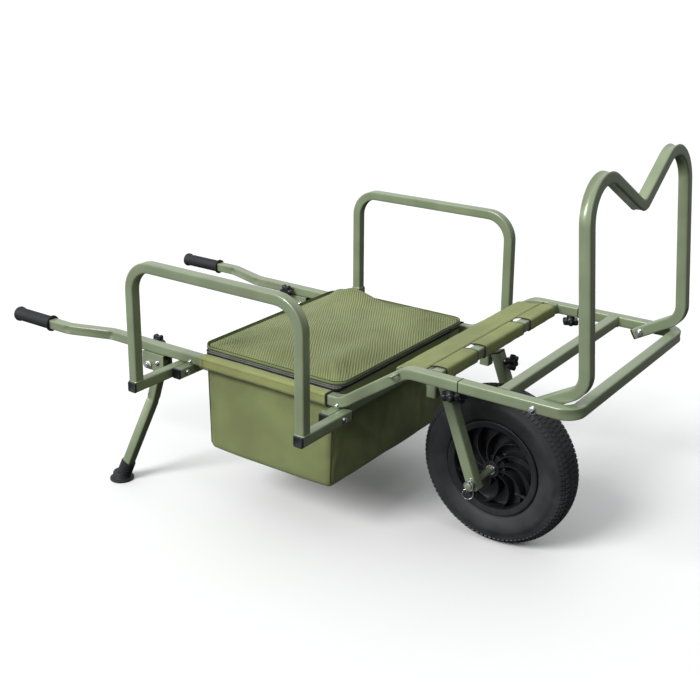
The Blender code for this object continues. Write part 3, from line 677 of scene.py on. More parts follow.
def star_knob(seat, axis):
    """The knob's head, which stands off its seat on a short round neck."""
    knob = bmesh.new()
    made = bmesh.ops.create_circle(knob, cap_ends=True, segments=72, radius=1)["verts"]
    for vert in made:
        wave = math.cos(6 * math.atan2(vert.co.y, vert.co.x))
        vert.co *= KNOB_R + 0.0030 * (wave if wave > 0 else wave * 1.25)
    face = next(iter(made[0].link_faces))
    bmesh.ops.translate(knob, verts=made, vec=(0, 0, 0.0098))
    bmesh.ops.transform(knob, matrix=Matrix.Scale(0.90, 4), verts=made, space=Matrix())
    bmesh.ops.translate(knob, verts=made, vec=(0, 0, 0.0098 * 0.10))
    face = push(knob, face, (0, 0, 0.0012), 1.075, first=True)
    stations = ((0.0012, 1.035), (0.0084, 1.0), (0.0018, 0.97), (0.0012, 0.90), (0.0004, 0.82))
    for lift, scale in stations:
        face = push(knob, face, (0, 0, lift), scale)
    for lift, scale in ((0.0, 0.62), (-0.0016, 0.90), (0.0, 0.55), (0.0008, 0.88)):
        face = push(knob, face, (0, 0, lift), scale)
    aim(knob, knob.verts, seat, axis)
    lathe(knob, mm(0.3, 0, 0.3, 9.2, 1.2, 9.6, 8.8, 10.2, 12, 13, 12, 0), seat, axis)
    return knob


knob_nylon = moulded("glass_filled_nylon", "#1C1D21", 0.38)
LOCK_X = SPLIT_X - 0.024
HANDLE_LOCK_X = RAIL_END_X + 0.015
stud_share = (STUD_Z - AXLE_Z) / (FORK_TOP[1] - AXLE_Z)
fork_seat_x = FORK_TOP[0] * stud_share + TUBE_HALF / fork_lean.z + 0.0050
for label, sign in SIDES.items():
    knobs = (
        ("loop_knob_", (LOCK_X, sign * RAIL_Y, DECK_Z - TUBE_HALF - 0.0003), (0, 0, -1), 0.006),
        ("handle_knob_", (HANDLE_LOCK_X, sign * BETWEEN_RAILS, RAIL_Z), (0, -sign, 0), 0.002),
        ("fork_knob_", (fork_seat_x, sign * FORK_Y, STUD_Z), (1, 0, 0), 0.072),
    )
    for name, seat, axis, stud in knobs:
        name += label
        set_piece(name + "_head", star_knob(seat, axis), knob_nylon, name, [name])
        rod = bmesh.new()
        tip = SHANK - 0.0007
        profile = [(0.008, 0), (0.008, SHANK), (-stud, SHANK), (-stud - 0.001, tip)]
        lathe(rod, profile + [(-stud - 0.001, 0)], seat, axis, steps=20)
        if name.startswith("fork"):
            washer = [(-0.0034, SHANK), (-0.0034, 0.0080), (-0.0002, 0.0080), (-0.0002, SHANK)]
            lathe(rod, washer, seat, axis, steps=28, ring=True)
        set_piece(name + "_stud", rod, zinc, name)

# Lashing eyes. A ring of 5.5 mm rod is welded on the outside of each rail above the wheel.
EYE = (-0.100, 0.4850)


def wire_ring(mesh, centre, axis, radius, wire, steps=40):
    """A closed ring of round wire."""
    turns = [math.tau * k / 12 for k in range(12)]
    section = [(wire * math.sin(turn), radius + wire * math.cos(turn)) for turn in turns]
    lathe(mesh, section, centre, axis, steps, ring=True)


for label, sign in SIDES.items():
    eye = bmesh.new()
    spot = (EYE[0], sign * (RAIL_Y + TUBE_HALF + 0.0085), EYE[1])
    wire_ring(eye, spot, (-0.45, 0, 1), 0.0098, 0.0027)
    set_piece("lashing_eye_" + label, eye, coat, "frame")

# Grips. Ribbed sleeves of black closed-cell foam with a flange at the front and a bulb at the
# end.
foam = moulded("closed_cell_foam", "#18191B", 0.72, grain=0.0011, depth=0.0004)
length = GRIP_FRONT_X - GRIP_END_X
rib, ribs = 0.0052, 20
tail = 0.0105 + ribs * rib
sleeve = mm(0.3, 0, 0.3, 13.8, 0.3, 19.6, 1.4, 21.2, 4, 21.4, 6.4, 19.8)
for step in range(ribs):
    along = 0.0105 + step * rib
    sleeve += [(along, 0.0166), (along + rib * 0.25, 0.0174), (along + rib * 0.65, 0.0174)]
bulb = mm(-16, 17.6, -11, 19.6, -6, 20, -2.2, 18.6, -0.4, 15, 0, 10, 0, 5.5, -3, 5, -3.2, 0)
sleeve += [(tail, 0.0168)] + [(length + along, radius) for along, radius in bulb]
for label, sign in SIDES.items():
    grip = bmesh.new()
    lathe(grip, sleeve, (GRIP_FRONT_X, sign * HANDLE_Y, RAIL_Z), (-1, 0, 0), steps=40)
    name = "grip_" + label
    set_piece(name + "_foam", grip, foam, "handle_" + label, [name], 60)

# Feet. Moulded rubber, with a wide round flange on the ground and a ribbed neck up the leg.
rubber = moulded("moulded_rubber", "#17181A", 0.66, grain=0.0014, depth=0.0003)
for label, (ground, down) in leg_lines.items():
    foot = bmesh.new()
    profile = mm(
        0, 0, 0, 29.6, 1.2, 30.9, 4.2, 30.9, 5.4, 29.6, 6.2, 23.8, 7.2, 23, 19, 22.4, 21.8, 20.5,
        22.2, 0
    )
    lathe(foot, profile, ground, (0, 0, 1), steps=56)
    collar = mm(12, 0, 12, 17.8)
    for step in range(4):
        along = 0.020 + step * 0.0088
        collar += [(along, 0.0172), (along + 0.0012, 0.0188), (along + 0.0058, 0.0188)]
        collar += [(along + 0.0070, 0.0171)]
    collar += mm(55.5, 18.2, 56, 17.6, 56, 0)
    lathe(foot, collar, ground, -down, steps=40)
    name = "foot_" + label
    set_piece(name + "_rubber", foot, rubber, "leg_" + label, [name])

# Joint liners. A thin black nylon liner closes the joint between each rail and the front loop.
for label, sign in SIDES.items():
    liner = bmesh.new()
    face = square_section(liner, TUBE_HALF + 0.0004, TUBE_HALF + 0.0004, TUBE_CORNER)
    push(liner, face, (0, 0, 0.0023), first=True)
    aim(liner, liner.verts, (SPLIT_X - 0.0021, sign * RAIL_Y, DECK_Z), (1, 0, 0), (0, 1, 0))
    set_piece("joint_liner_" + label, liner, nylon, "frame")

# Tyre. A pneumatic barrow tyre of black rubber, moulded with five rows of tread blocks, plain
# walls with fine rings, and the short nibs that the mould's vents leave.
HUB = (0, 0, AXLE_Z)
tyre_rubber, rubber_shader, place = new_look("vulcanised_rubber", ior=1.52)
to_hub = {"Vector": place, "Location": (-AXLE_X, 0, -AXLE_Z)}
centred = add_node(tyre_rubber, "Mapping", to_hub).outputs[0]
flat_spot = add_node(tyre_rubber, "VectorMath", {0: centred, 1: (1, 0, 1)}, operation="MULTIPLY")
from_hub = add_node(tyre_rubber, "VectorMath", {0: flat_spot.outputs[0]}, operation="LENGTH")
# Rings 3 mm apart, the marks of the tool that turned the mould.
turns = {0: from_hub.outputs["Value"], 1: math.tau / 0.003}
turns = add_node(tyre_rubber, "Math", turns, operation="MULTIPLY").outputs[0]
ringed = add_node(tyre_rubber, "Math", {0: turns}, operation="SINE").outputs[0]
bloom, share = blotched(tyre_rubber, place, 0.05, linear("#222325"), linear("#2E2F30"))
skin = add_node(tyre_rubber, "TexNoise", {"Vector": place, "Scale": 1 / 0.0016, "Detail": 3.0})
height = {0: ringed, 1: 0.35, 2: skin.outputs["Fac"]}
height = add_node(tyre_rubber, "Math", height, operation="MULTIPLY_ADD").outputs[0]
bump = add_node(tyre_rubber, "Bump", {"Height": height, "Strength": 0.4, "Distance": 0.0003})
rough = add_node(tyre_rubber, "MapRange", {"Value": share, "To Min": 0.55, "To Max": 0.70})
surface = {"Base Color": bloom, "Roughness": rough.outputs[0], "Normal": bump.outputs["Normal"]}
set_node(tyre_rubber, rubber_shader, surface)
wall = mm(
    32.4, 104.4, 32.6, 116.6, 34, 117.6, 36.4, 117.8, 37.6, 119.6, 39.2, 120.4, 41.2, 125, 43.8,
    133, 45.5, 142, 45.9, 150, 45.3, 158, 45, 158.4, 44.6, 161.2, 44.1, 161.8, 43, 168
)
crown = mm(41.2, 173, 33, 181.2, 30.6, 182.6, 20, 186, 17.2, 186.3, 6.2, 187.2)
cavity = mm(0, 181, 26, 175, 36, 152, 22, 122, 22, 104.4)
profile = wall + crown + [(-a, r) for a, r in reversed(wall + crown)]
profile += [(-a, r) for a, r in reversed(cavity[1:])] + cavity
tyre = bmesh.new()
STEPS = 288
lathe(tyre, profile, HUB, (0, 1, 0), steps=STEPS, ring=True)
bmesh.ops.recalc_face_normals(tyre, faces=tyre.faces)
# Each row has a block over two steps in three, and rows are staggered.
rows = ((0.0412, 0.0330, 0), (0.0306, 0.0200, 1), (0.0172, 0.0062, 2))
blocks = []
for face in tyre.faces:
    middle = face.calc_center_median()
    spoke = Vector((middle.x, 0, middle.z - AXLE_Z))
    if spoke.length < 0.1745 or face.normal.dot(spoke) <= 0:
        continue
    step = int(math.atan2(spoke.x, spoke.z) / math.tau * STEPS + STEPS * 2)
    for outer, inner, stagger in rows:
        if inner < abs(middle.y) < outer and (step + stagger + (middle.y > 0)) % 3 != 0:
            blocks.append(face)
    if abs(middle.y) < 0.0062 and step % 3 != 1:
        blocks.append(face)
bmesh.ops.inset_region(tyre, faces=blocks, thickness=0.0006, depth=0.0027, use_even_offset=True)
for sign in SIDES.values():
    for k in range(30):
        turn = math.tau * (k + 0.3 * (k % 3)) / 30
        reach, out = ((0.1285, 0.0423), (0.1530, 0.0458), (0.1400, 0.0451))[k % 3]
        spot = (reach * math.sin(turn), sign * out, AXLE_Z + reach * math.cos(turn))
        nib = mm(0, 0, 0, 0.6, 1.2, 0.4, 1.2, 0)
        lathe(tyre, nib, spot, (0, sign, 0), steps=6)
set_piece("tyre_rubber", tyre, tyre_rubber, "wheel", ["tyre"], 35)

# Rim. One moulding of black polypropylene, with a flat flange, a deep well, a closed web, and
# twelve thin curved ribs on each face from the hub to the well.
polypropylene = moulded("moulded_polypropylene", "#1D1E21", 0.40)
rim = bmesh.new()
face_side = mm(
    44, 8.4, 44, 14, 43.2, 14.6, 43.2, 19.2, 42.4, 20, 30, 20.6, 29.6, 29, 28.8, 29.8, 8, 30.4,
    6.2, 33, 6, 96, 7.2, 98.5, 33, 99.2, 37.5, 99.8, 38.8, 100.8, 39.2, 103, 40.4, 112, 40.6,
    114.6, 39.8, 116, 34.5, 115.2, 33.2, 114, 33, 104
)
profile = face_side + [(-a, r) for a, r in reversed(face_side)]
lathe(rim, profile, HUB, (0, 1, 0), steps=96, ring=True)
for sign in SIDES.values():
    blades = bmesh.new()
    bmesh.ops.create_grid(blades, x_segments=10, y_segments=4, size=1)
    for vert in blades.verts:
        share, rise = (vert.co.x + 1) / 2, (vert.co.y + 1) / 2
        reach = 0.0195 + (0.0996 - 0.0195) * share
        turn = sign * 0.78 * share**1.6
        top = 0.0402 - 0.0100 * share ** 0.8
        out = sign * (0.0055 + (top - 0.0055) * rise)
        vert.co = (reach * math.cos(turn), out, AXLE_Z + reach * math.sin(turn))
    bmesh.ops.solidify(blades, geom=blades.faces[:], thickness=0.0024)
    bmesh.ops.spin(
        blades, geom=blades.verts[:] + blades.edges[:] + blades.faces[:], cent=HUB, axis=(0, 1, 0),
        dvec=(0, 0, 0), angle=math.tau * 11 / 12, steps=11, use_merge=False,
        use_normal_flip=False, use_duplicate=True,
    )
    join(rim, blades)
set_piece("rim_moulding", rim, polypropylene, "wheel", ["rim"], 35)
bushes = bmesh.new()
for sign in SIDES.values():
    start = (0, sign * 0.0441, AXLE_Z)
    lathe(bushes, mm(0, 8.5, 0, 11.2, 1.2, 11.8, 2, 11.2, 2, 8.5),
          start, (0, sign, 0), steps=40, ring=True)
set_piece("hub_bushes", bushes, zinc, "wheel")

# Valve. A short brass-cored rubber valve stands in the rim's well under its cap.
valve = bmesh.new()
spot = Vector((0.082, -0.030, AXLE_Z - 0.052))
inwards = (Vector((0, spot.y, AXLE_Z)) - spot).normalized() * 0.75 + Vector((0, -0.45, 0))
lathe(valve, mm(
    -4, 0, -4, 4.5, 6, 4.2, 8, 3.1, 14, 3, 14.5, 3.8, 23, 3.8, 24, 3.2, 24, 0
), spot, inwards, steps=18)
set_piece("tyre_valve", valve, rubber, "wheel")

# Axle. A 16 mm coated steel bar through both fork legs, with a plated washer and nut on each end,
# and a split ring through a cross hole that keeps each nut on.
AXLE_R = 0.008
reach = FORK_Y + FORK_HALF + 0.0003
axle = bmesh.new()
profile = [(-reach - 0.0128, 0), (-reach - 0.0128, 0.0064), (-reach - 0.0118, AXLE_R)]
profile += [(reach + 0.0118, AXLE_R), (reach + 0.0128, 0.0064), (reach + 0.0128, 0)]
lathe(axle, profile, HUB, (0, 1, 0), steps=32)
set_piece("axle_bar", axle, coat, "frame", ["axle"])
fittings = bmesh.new()
for sign in SIDES.values():
    seat = (0, sign * (reach + 0.0002), AXLE_Z)
    lathe(fittings, mm(0, 8.2, 0, 13.2, 1.8, 13.4, 2, 8.2),
          seat, (0, sign, 0), steps=40, ring=True)
    lathe(fittings, mm(
        2.4, 8.2, 2.4, 11.8, 3.4, 12.6, 7.8, 12.6, 8.8, 11.6, 8.8, 8.2
    ), seat, (0, sign, 0), steps=40, ring=True)
    for along in (0.0108, 0.0122):
        middle = (0.001, sign * (reach + along), AXLE_Z - 0.0166)
        wire_ring(fittings, middle, (0.50, sign * 0.85, 0.12), 0.0122, 0.0008)
    lathe(fittings, mm(-15, 0, -15, 1.1, 16.5, 1.1, 16.5, 0),
          (0, sign * (reach + 0.0106), AXLE_Z), (0.25, 0, 1), steps=10)
    middle = (0.0048, sign * (reach + 0.0106), AXLE_Z + 0.0190)
    wire_ring(fittings, middle, (0, 1, 0), 0.0034, 0.0008, 20)
set_piece("axle_fittings", fittings, zinc, "frame", ["axle_nut"])

# Bag. A hanging bag of coated 600 denier polyester oxford, sewn from flat panels with a bound
# seam down each corner and round the floor, and a collar that stands up between the rails.
CLOTH = 0.0016
BAG_X, BAG_HALF, BAG_LOW_Z = (-0.661, -0.282), 0.284, 0.147
COLLAR_X, COLLAR_HALF, COLLAR_TOP = (-0.672, -0.272), 0.272, 0.4010
STEP_Z = RAIL_Z - TUBE_HALF - 0.0050
OLIVE_CLOTH = "#7E8655"


def woven(name, code, warp, weft, pitch, depth=0.0005, sheen=0.10):
    """Plain weave. Threads that run two ways pass over and under, so each crossing is a knuckle."""
    look, shader, place = new_look(
        name, ior=1.46, roughness=0.88, sheen_weight=sheen, sheen_roughness=0.45
    )
    slub = add_node(look, "TexNoise", {"Vector": place, "Scale": 1 / 0.012, "Detail": 3.0})
    waves = []
    for direction in (warp, weft):
        along = add_node(look, "VectorMath", {0: place, 1: direction}, operation="DOT_PRODUCT")
        turns = {0: along.outputs["Value"], 1: math.tau / pitch, 2: slub.outputs["Fac"]}
        turns = add_node(look, "Math", turns, operation="MULTIPLY_ADD").outputs[0]
        waves.append(add_node(look, "Math", {0: turns}, operation="SINE").outputs[0])
    knuckles = add_node(look, "Math", dict(enumerate(waves)), operation="MULTIPLY").outputs[0]
    colour, share = blotched(look, place, 0.11, shaded(code, 0.86), shaded(code, 1.10))
    # The knuckles are mixed toward a darker copy of the cloth's colour, most where they stand
    # highest: painted shade that follows the weave's relief.
    lift = {"Value": knuckles, "From Min": -1.0, "From Max": 1.0, "To Min": 0.0, "To Max": 0.42}
    lift = add_node(look, "MapRange", lift).outputs[0]
    threads = add_node(look, "Mix", {0: lift, 6: colour, 7: shaded(code, 0.42)}, data_type="RGBA")
    bump = add_node(look, "Bump", {"Height": knuckles, "Strength": 0.55, "Distance": depth})
    set_node(look, shader, {"Base Color": threads.outputs[2], "Normal": bump.outputs["Normal"]})
    return look


def cord_mesh(points, radius, closed=False, sides=2):
    """A round cord through the points, as a mesh with closed ends."""
    line = bpy.data.curves.new("line", "CURVE")
    line.dimensions = "3D"
    line.bevel_depth = radius
    line.bevel_resolution = sides
    line.use_fill_caps = not closed
    spline = line.splines.new("POLY")
    spline.points.add(len(points) - 1)
    for dot, spot in zip(spline.points, points):
        dot.co = (*spot, 1)
    spline.use_cyclic_u = closed
    holder = bpy.data.objects.new("line", line)
    data = bpy.data.meshes.new_from_object(holder)
    mesh = bmesh.new()
    mesh.from_mesh(data)
    bpy.data.objects.remove(holder)
    bpy.data.curves.remove(line)
    bpy.data.meshes.remove(data)
    bmesh.ops.remove_doubles(mesh, verts=mesh.verts, dist=1e-6)
    return mesh


def rounded(x_low, x_high, half, z, corner, steps=7):
    """Points round a rectangle with round corners, anticlockwise from its front left corner."""
    spots = []
    corners = (x_high, half), (x_low, half), (x_low, -half), (x_high, -half)
    for quarter, (x, y) in enumerate(corners):
        centre = Vector((x + (corner if x == x_low else -corner), y - math.copysign(corner, y), z))
        for step in range(steps + 1):
            turn = math.radians(90 * (quarter + step / steps))
            spots.append(centre + Vector((math.cos(turn), math.sin(turn), 0)) * corner)
    return spots


def walk(points, spacing):
    """Equally spaced places along a line of points, each with the direction ahead."""
    places, ahead_of = [], spacing / 2
    for start, end in zip(points, points[1:]):
        leg = end - start
        while ahead_of < leg.length:
            places.append((start + leg * (ahead_of / leg.length), leg.normalized()))
            ahead_of += spacing
        ahead_of -= leg.length
    return places


def stitches(mesh, points, out, spacing=0.0052, length=0.0038, thick=0.0007):
    """A row of lockstitches, each a short fat thread lying in the cloth."""
    for spot, ahead in walk([Vector(p) for p in points], spacing):
        bead = bmesh.new()
        bmesh.ops.create_icosphere(bead, subdivisions=1, radius=1)
        bmesh.ops.scale(bead, vec=(thick, thick * 0.7, length / 2), verts=bead.verts)
        aim(bead, bead.verts, spot, ahead, Vector(out).cross(ahead))
        join(mesh, bead)


def wander(spot, size, seed=0.0):
    """Smooth noise from -1 to 1 over the given size."""
    return noise.noise(Vector(spot) / size + Vector((seed, seed * 1.7, -seed)))


def hump(x, y, centre, wide, high):
    """A smooth swelling about a centre."""
    gap = ((x - centre[0]) / wide[0]) ** 2 + ((y - centre[1]) / wide[1]) ** 2
    return high * math.exp(-gap)


def box(long, wide, high, place=(0, 0, 0)):
    """A box about a place."""
    mesh = bmesh.new()
    bmesh.ops.create_cube(mesh, size=1)
    bmesh.ops.scale(mesh, vec=(long, wide, high), verts=mesh.verts)
    bmesh.ops.translate(mesh, vec=place, verts=mesh.verts)
    return mesh


# Real oxford threads lie 0.6 mm apart. They are drawn 2.4 mm apart, so that they show.
bag_cloth = woven("polyester_oxford", OLIVE_CLOTH, (1, 1, 0.02), (0, 0.02, 1), 0.0024)
long_x, long_y = BAG_X[1] - BAG_X[0], 2 * BAG_HALF
middle_x = (BAG_X[0] + BAG_X[1]) / 2
shell = box(long_x, long_y, STEP_Z - BAG_LOW_Z, (middle_x, 0, (STEP_Z + BAG_LOW_Z) / 2))
bmesh.ops.delete(shell, geom=[f for f in shell.faces if f.normal.z > 0.9], context="FACES_ONLY")
rim = [e for e in shell.edges if len(e.link_faces) == 1]
round_off(shell, [e for e in shell.edges if e not in rim], 0.014, 4)
for axis, cuts in ((0, 46), (1, 70), (2, 30)):
    runs = [
        e for e in shell.edges
        if abs((e.verts[0].co - e.verts[1].co).normalized()[axis]) > 0.999 and e.calc_length() > 0.1
    ]
    bmesh.ops.subdivide_edges(shell, edges=runs, cuts=cuts, use_grid_fill=True)
for vert in shell.verts:
    x, y, z = vert.co
    share = max(0, min(1, (STEP_Z - z) / (STEP_Z - BAG_LOW_Z)))
    slack = max(0, math.sin(math.pi * share)) ** 0.8
    across = max(0, math.sin(math.pi * (x - BAG_X[0]) / long_x))
    along = max(0, math.sin(math.pi * (y + BAG_HALF) / long_y))
    out = Vector((0, 0, 0))
    if abs(y) > BAG_HALF - 0.02:
        belly = 0.0055 * slack * across + 0.0022 * wander(vert.co, 0.07, 3) * slack
        out.y = math.copysign(1, y) * (belly - 0.0050 * share * (1 - across) - 0.0016)
    if x > BAG_X[1] - 0.02:
        # Slack in the front panel gathers in folds that hang from its top edge.
        fold = abs(wander((0, y * 1.3 + 0.12 * z, z * 0.25), 0.055, 9)) ** 0.7
        fold += 0.5 * wander((0, y, z * 0.6), 0.035, 4)
        out.x = 0.0100 * (1 - share) - 0.0045
        out.x += slack * (0.0085 * fold * along**0.5 + 0.005 * along)
        out.x -= 0.0090 * abs(wander((0, y + z * 0.7, z), 0.09, 21)) * slack
    elif x < BAG_X[0] + 0.02:
        out.x = -0.0040 * slack * along - 0.0020 * wander((0, y, z * 0.5), 0.06, 5) * slack + 0.0020
    if z < BAG_LOW_Z + 0.02:
        out.z = 0.0015 - 0.0060 * (across * along) ** 0.5 + 0.0016 * wander(vert.co, 0.09, 7)
        out.z += 0.0030 * wander((x * 0.8, y, 0), 0.16, 2)
    vert.co += out
# The collar is carried on from the panels' top edge.
edges = [e for e in shell.edges if e.is_boundary]
for height in (STEP_Z + 0.0020, 0.3740, 0.3830, 0.3920, COLLAR_TOP):
    edges, verts = carry_on(shell, edges)
    for vert in verts:
        if height == STEP_Z + 0.0020:
            reach = (vert.co.x - middle_x) / (long_x / 2 + 0.0035)
            reach = max(-1, min(1, reach))
            vert.co.y *= COLLAR_HALF / BAG_HALF
            centre = (COLLAR_X[0] + COLLAR_X[1]) / 2
            vert.co.x = centre + reach * (COLLAR_X[1] - COLLAR_X[0]) / 2
        vert.co.z = height
set_piece("bag_shell", shell, bag_cloth, "frame", ["bag"], 60, (CLOTH, -1.0))

# Bag seams. Each corner and the floor's edge is bound with a folded tape, sewn down beside it.
# Only the tape down each corner is drawn, without its stitches.
# The bound seams and cords are a darker olive than the cloth. The tape is real, and down the bag's
# corners its darkness is also painted shade of the corner's crease.
seam_tape_and_shade = woven("folded_binding_tape", "#3F4527", (1, 1, 0), (0, 0, 1), 0.0016, 0.0003)
thread = moulded("polyester_thread", "#4C522D", 0.6)
seams = bmesh.new()
inset = 0.0034
for x in BAG_X:
    for sign in SIDES.values():
        spots = []
        for step in range(25):
            share = step / 24
            z = STEP_Z + 0.0005 + (BAG_LOW_Z + 0.014 - STEP_Z) * share
            lean = 0.0100 * (1 - share) - 0.0045 if x == BAG_X[1] else 0.0020
            edge_x = x - math.copysign(inset, x - middle_x) + lean
            spots.append((edge_x, sign * (BAG_HALF - inset - 0.0016 - 0.0050 * share), z))
        join(seams, cord_mesh(spots, 0.0012))
set_piece("bag_corner_seams", seams, seam_tape_and_shade, "frame")

# Rail sleeves. A hem of the same cloth is wrapped round each rail and sewn down to the panel,
# with a corded edge below, a black bound front end, and a stitched rear end.
SLEEVE_X = (-0.664, -0.280)
# The hem is drawn in a lighter olive than the bag's own oxford: painted light on the sleeves.
sleeve_cloth_lit = woven("oxford_hem", "#8F955C", (1, 0.02, 0.02), (0, 1, 1), 0.0024)
black_tape = woven("black_binding_tape", "#17181A", (1, 1, 0), (0, 0.5, 1), 0.0016, 0.0003, 0.05)
for label, sign in SIDES.items():
    sleeve = open_section(0.0140, 0.0140, 0.0045)
    edges = sleeve.edges[:]
    for step in range(60):
        edges, _ = carry_on(sleeve, edges, (0, 0, (SLEEVE_X[1] - SLEEVE_X[0]) / 60))
    aim(sleeve, sleeve.verts, (SLEEVE_X[0], sign * RAIL_Y, RAIL_Z), (1, 0, 0), (0, 1, 0))
    for vert in sleeve.verts:
        reach = vert.co - Vector((vert.co.x, sign * RAIL_Y, RAIL_Z))
        share = (vert.co.x - SLEEVE_X[0]) / (SLEEVE_X[1] - SLEEVE_X[0])
        ease = max(0, math.sin(math.pi * share)) ** 0.4
        swell_out = 0.0009 * (0.5 + wander(vert.co, 0.035, 6)) + 0.0006 * wander(vert.co, 0.012, 8)
        vert.co += reach.normalized() * max(0, swell_out) * ease
    name = "bag_sleeve_" + label
    set_piece(
        name + "_cloth", sleeve, sleeve_cloth_lit, "frame", [name], 60, (0.0010, -1.0)
    )
    low_z, outer = RAIL_Z - 0.0148, sign * (RAIL_Y + 0.0132)
    edge = []
    for k in range(51):
        x = SLEEVE_X[0] + 0.001 + (SLEEVE_X[1] - SLEEVE_X[0] - 0.002) * k / 50
        edge.append((x, outer, low_z + 0.0003 * wander((k * 0.0075, 0, 0), 0.03, sign)))
    # The cord along the sleeve's lower edge is a real corded edge, and its dark colour is also
    # painted shadow: the line of shade under the sleeve's overhang.
    cord = cord_mesh(edge, 0.0013)
    set_piece("sleeve_cord_" + label, cord, seam_tape_and_shade, "frame")
    rows = bmesh.new()
    face_y = sign * (RAIL_Y + 0.0145)
    for lift in (0.0052, 0.0225):
        stitches(rows, [(x, face_y, low_z + lift) for x, y, z in edge], (0, sign, 0))
    for x in (SLEEVE_X[0] + 0.008, SLEEVE_X[0] + 0.011):
        stitches(rows, [(x, face_y, RAIL_Z + rise) for rise in (-0.011, 0.011)], (0, sign, 0))
    set_piece("sleeve_stitches_" + label, rows, thread, "frame")
    band = open_section(0.0149, 0.0149, 0.0050)
    carry_on(band, band.edges[:], (0, 0, 0.0055))
    aim(band, band.verts, (SLEEVE_X[1] - 0.0048, sign * RAIL_Y, RAIL_Z), (1, 0, 0), (0, 1, 0))
    name = "sleeve_binding_" + label
    set_piece(name, band, black_tape, "frame", wall=(0.0018, -1.0))

# Lid. A flat pad of olive spacer mesh over thin foam, filled loosely, so it swells and lies
# uneven. Its cloth is knitted in wavy ribs, and a strip along its left side hinges it to the
# collar.
LID_X, LID_HALF, LID_LOW, LID_EDGE = (-0.680, -0.262), 0.272, 0.4022, 0.4125


def spacer_mesh():
    """Knitted spacer mesh. Its wales run across the cart in waves, with a hole at each turn."""
    look, shader, place = new_look(
        "knitted_spacer_mesh", ior=1.46, roughness=0.86, sheen_weight=0.12, sheen_roughness=0.45
    )
    # The wales lean 30 degrees from straight across.
    ways = []
    for way in ((0.86, 0.51, 0.0), (-0.51, 0.86, 0.0)):
        along = add_node(look, "VectorMath", {0: place, 1: way}, operation="DOT_PRODUCT")
        ways.append(along.outputs["Value"])
    drift = add_node(look, "TexNoise", {"Vector": place, "Scale": 1 / 0.08, "Detail": 1.0})
    # The wales are 6 mm apart, and sway once in 9 mm.
    sway = add_node(look, "Math", {0: ways[1], 1: math.tau / 0.009}, operation="MULTIPLY")
    swing = add_node(look, "Math", {0: sway.outputs[0]}, operation="SINE").outputs[0]
    course = add_node(look, "Math", {0: ways[0], 1: math.tau / 0.0060}, operation="MULTIPLY")
    drifted = {0: drift.outputs["Fac"], 1: 9.0, 2: course.outputs[0]}
    drifted = add_node(look, "Math", drifted, operation="MULTIPLY_ADD").outputs[0]
    phase = add_node(look, "Math", {0: swing, 1: 0.75, 2: drifted}, operation="MULTIPLY_ADD")
    rib = add_node(look, "Math", {0: phase.outputs[0]}, operation="SINE").outputs[0]
    # Loops 2.6 mm apart lie along each wale. Real ones are 1.3 mm apart, too fine to show.
    loops = {0: ways[1], 1: math.tau / 0.0026, 2: drifted}
    loops = add_node(look, "Math", loops, operation="MULTIPLY_ADD").outputs[0]
    loop = add_node(look, "Math", {0: loops}, operation="SINE").outputs[0]
    height = add_node(look, "Math", {0: loop, 1: 0.35, 2: rib}, operation="MULTIPLY_ADD").outputs[0]
    colour, share = blotched(look, place, 0.13, linear("#7E8650"), linear("#8F9760"))
    # The knit's low places are mixed toward a dark olive: painted shade in its hollows.
    lift = {"Value": height, "From Min": -1.2, "From Max": 0.7, "To Min": 0.66, "To Max": 0.0}
    lift = add_node(look, "MapRange", lift).outputs[0]
    knit_with_shade = add_node(look, "Mix", {0: lift, 6: colour, 7: linear("#43492A")}, data_type="RGBA")
    bump = add_node(look, "Bump", {"Height": height, "Strength": 0.8, "Distance": 0.0013})
    set_node(look, shader, {"Base Color": knit_with_shade.outputs[2], "Normal": bump.outputs["Normal"]})
    return look


lid_long = LID_X[1] - LID_X[0] - 0.004
lid_middle, lid_half_z = (LID_X[0] + LID_X[1]) / 2, (LID_LOW + LID_EDGE) / 2
pad = box(lid_long, 2 * LID_HALF - 0.004, LID_EDGE - LID_LOW, (lid_middle, 0, lid_half_z))
round_off(pad, [e for e in pad.edges if abs(e.verts[0].co.z - e.verts[1].co.z) > 0.005], 0.030, 8)
cover = add_object("cover", bpy.data.meshes.new("cover"))
pad.to_mesh(cover.data)
pad.free()
grain = cover.modifiers.new("grain", "REMESH")
grain.mode, grain.voxel_size = "VOXEL", 0.005
bpy.context.view_layer.update()
graph = bpy.context.evaluated_depsgraph_get()
cover.data = bpy.data.meshes.new_from_object(cover.evaluated_get(graph))
cover.modifiers.clear()
start = [vert.co.copy() for vert in cover.data.vertices]
swollen = [spot.copy() for spot in start]
held = cover.vertex_groups.new(name="held")
low = [vert.index for vert in cover.data.vertices if vert.co.z < lid_half_z + 0.001]
held.add(low, 1.0, "REPLACE")
cloth = cover.modifiers.new("swelling", "CLOTH")
cloth.settings.vertex_group_mass = "held"
cloth.settings.use_pressure = True
cloth.settings.uniform_pressure_force = 4
cloth.settings.effector_weights.gravity = 0
cloth.settings.quality = 6
cloth.collision_settings.use_collision = False
for step in range(1, 21):
    bpy.context.scene.frame_set(step)
graph = bpy.context.evaluated_depsgraph_get()
after = bpy.data.meshes.new_from_object(cover.evaluated_get(graph))
for index, vert in enumerate(after.vertices):
    move = vert.co - start[index]
    swollen[index] = start[index] + move * min(1, 0.010 / max(move.length, 1e-9))
cover.modifiers.clear()
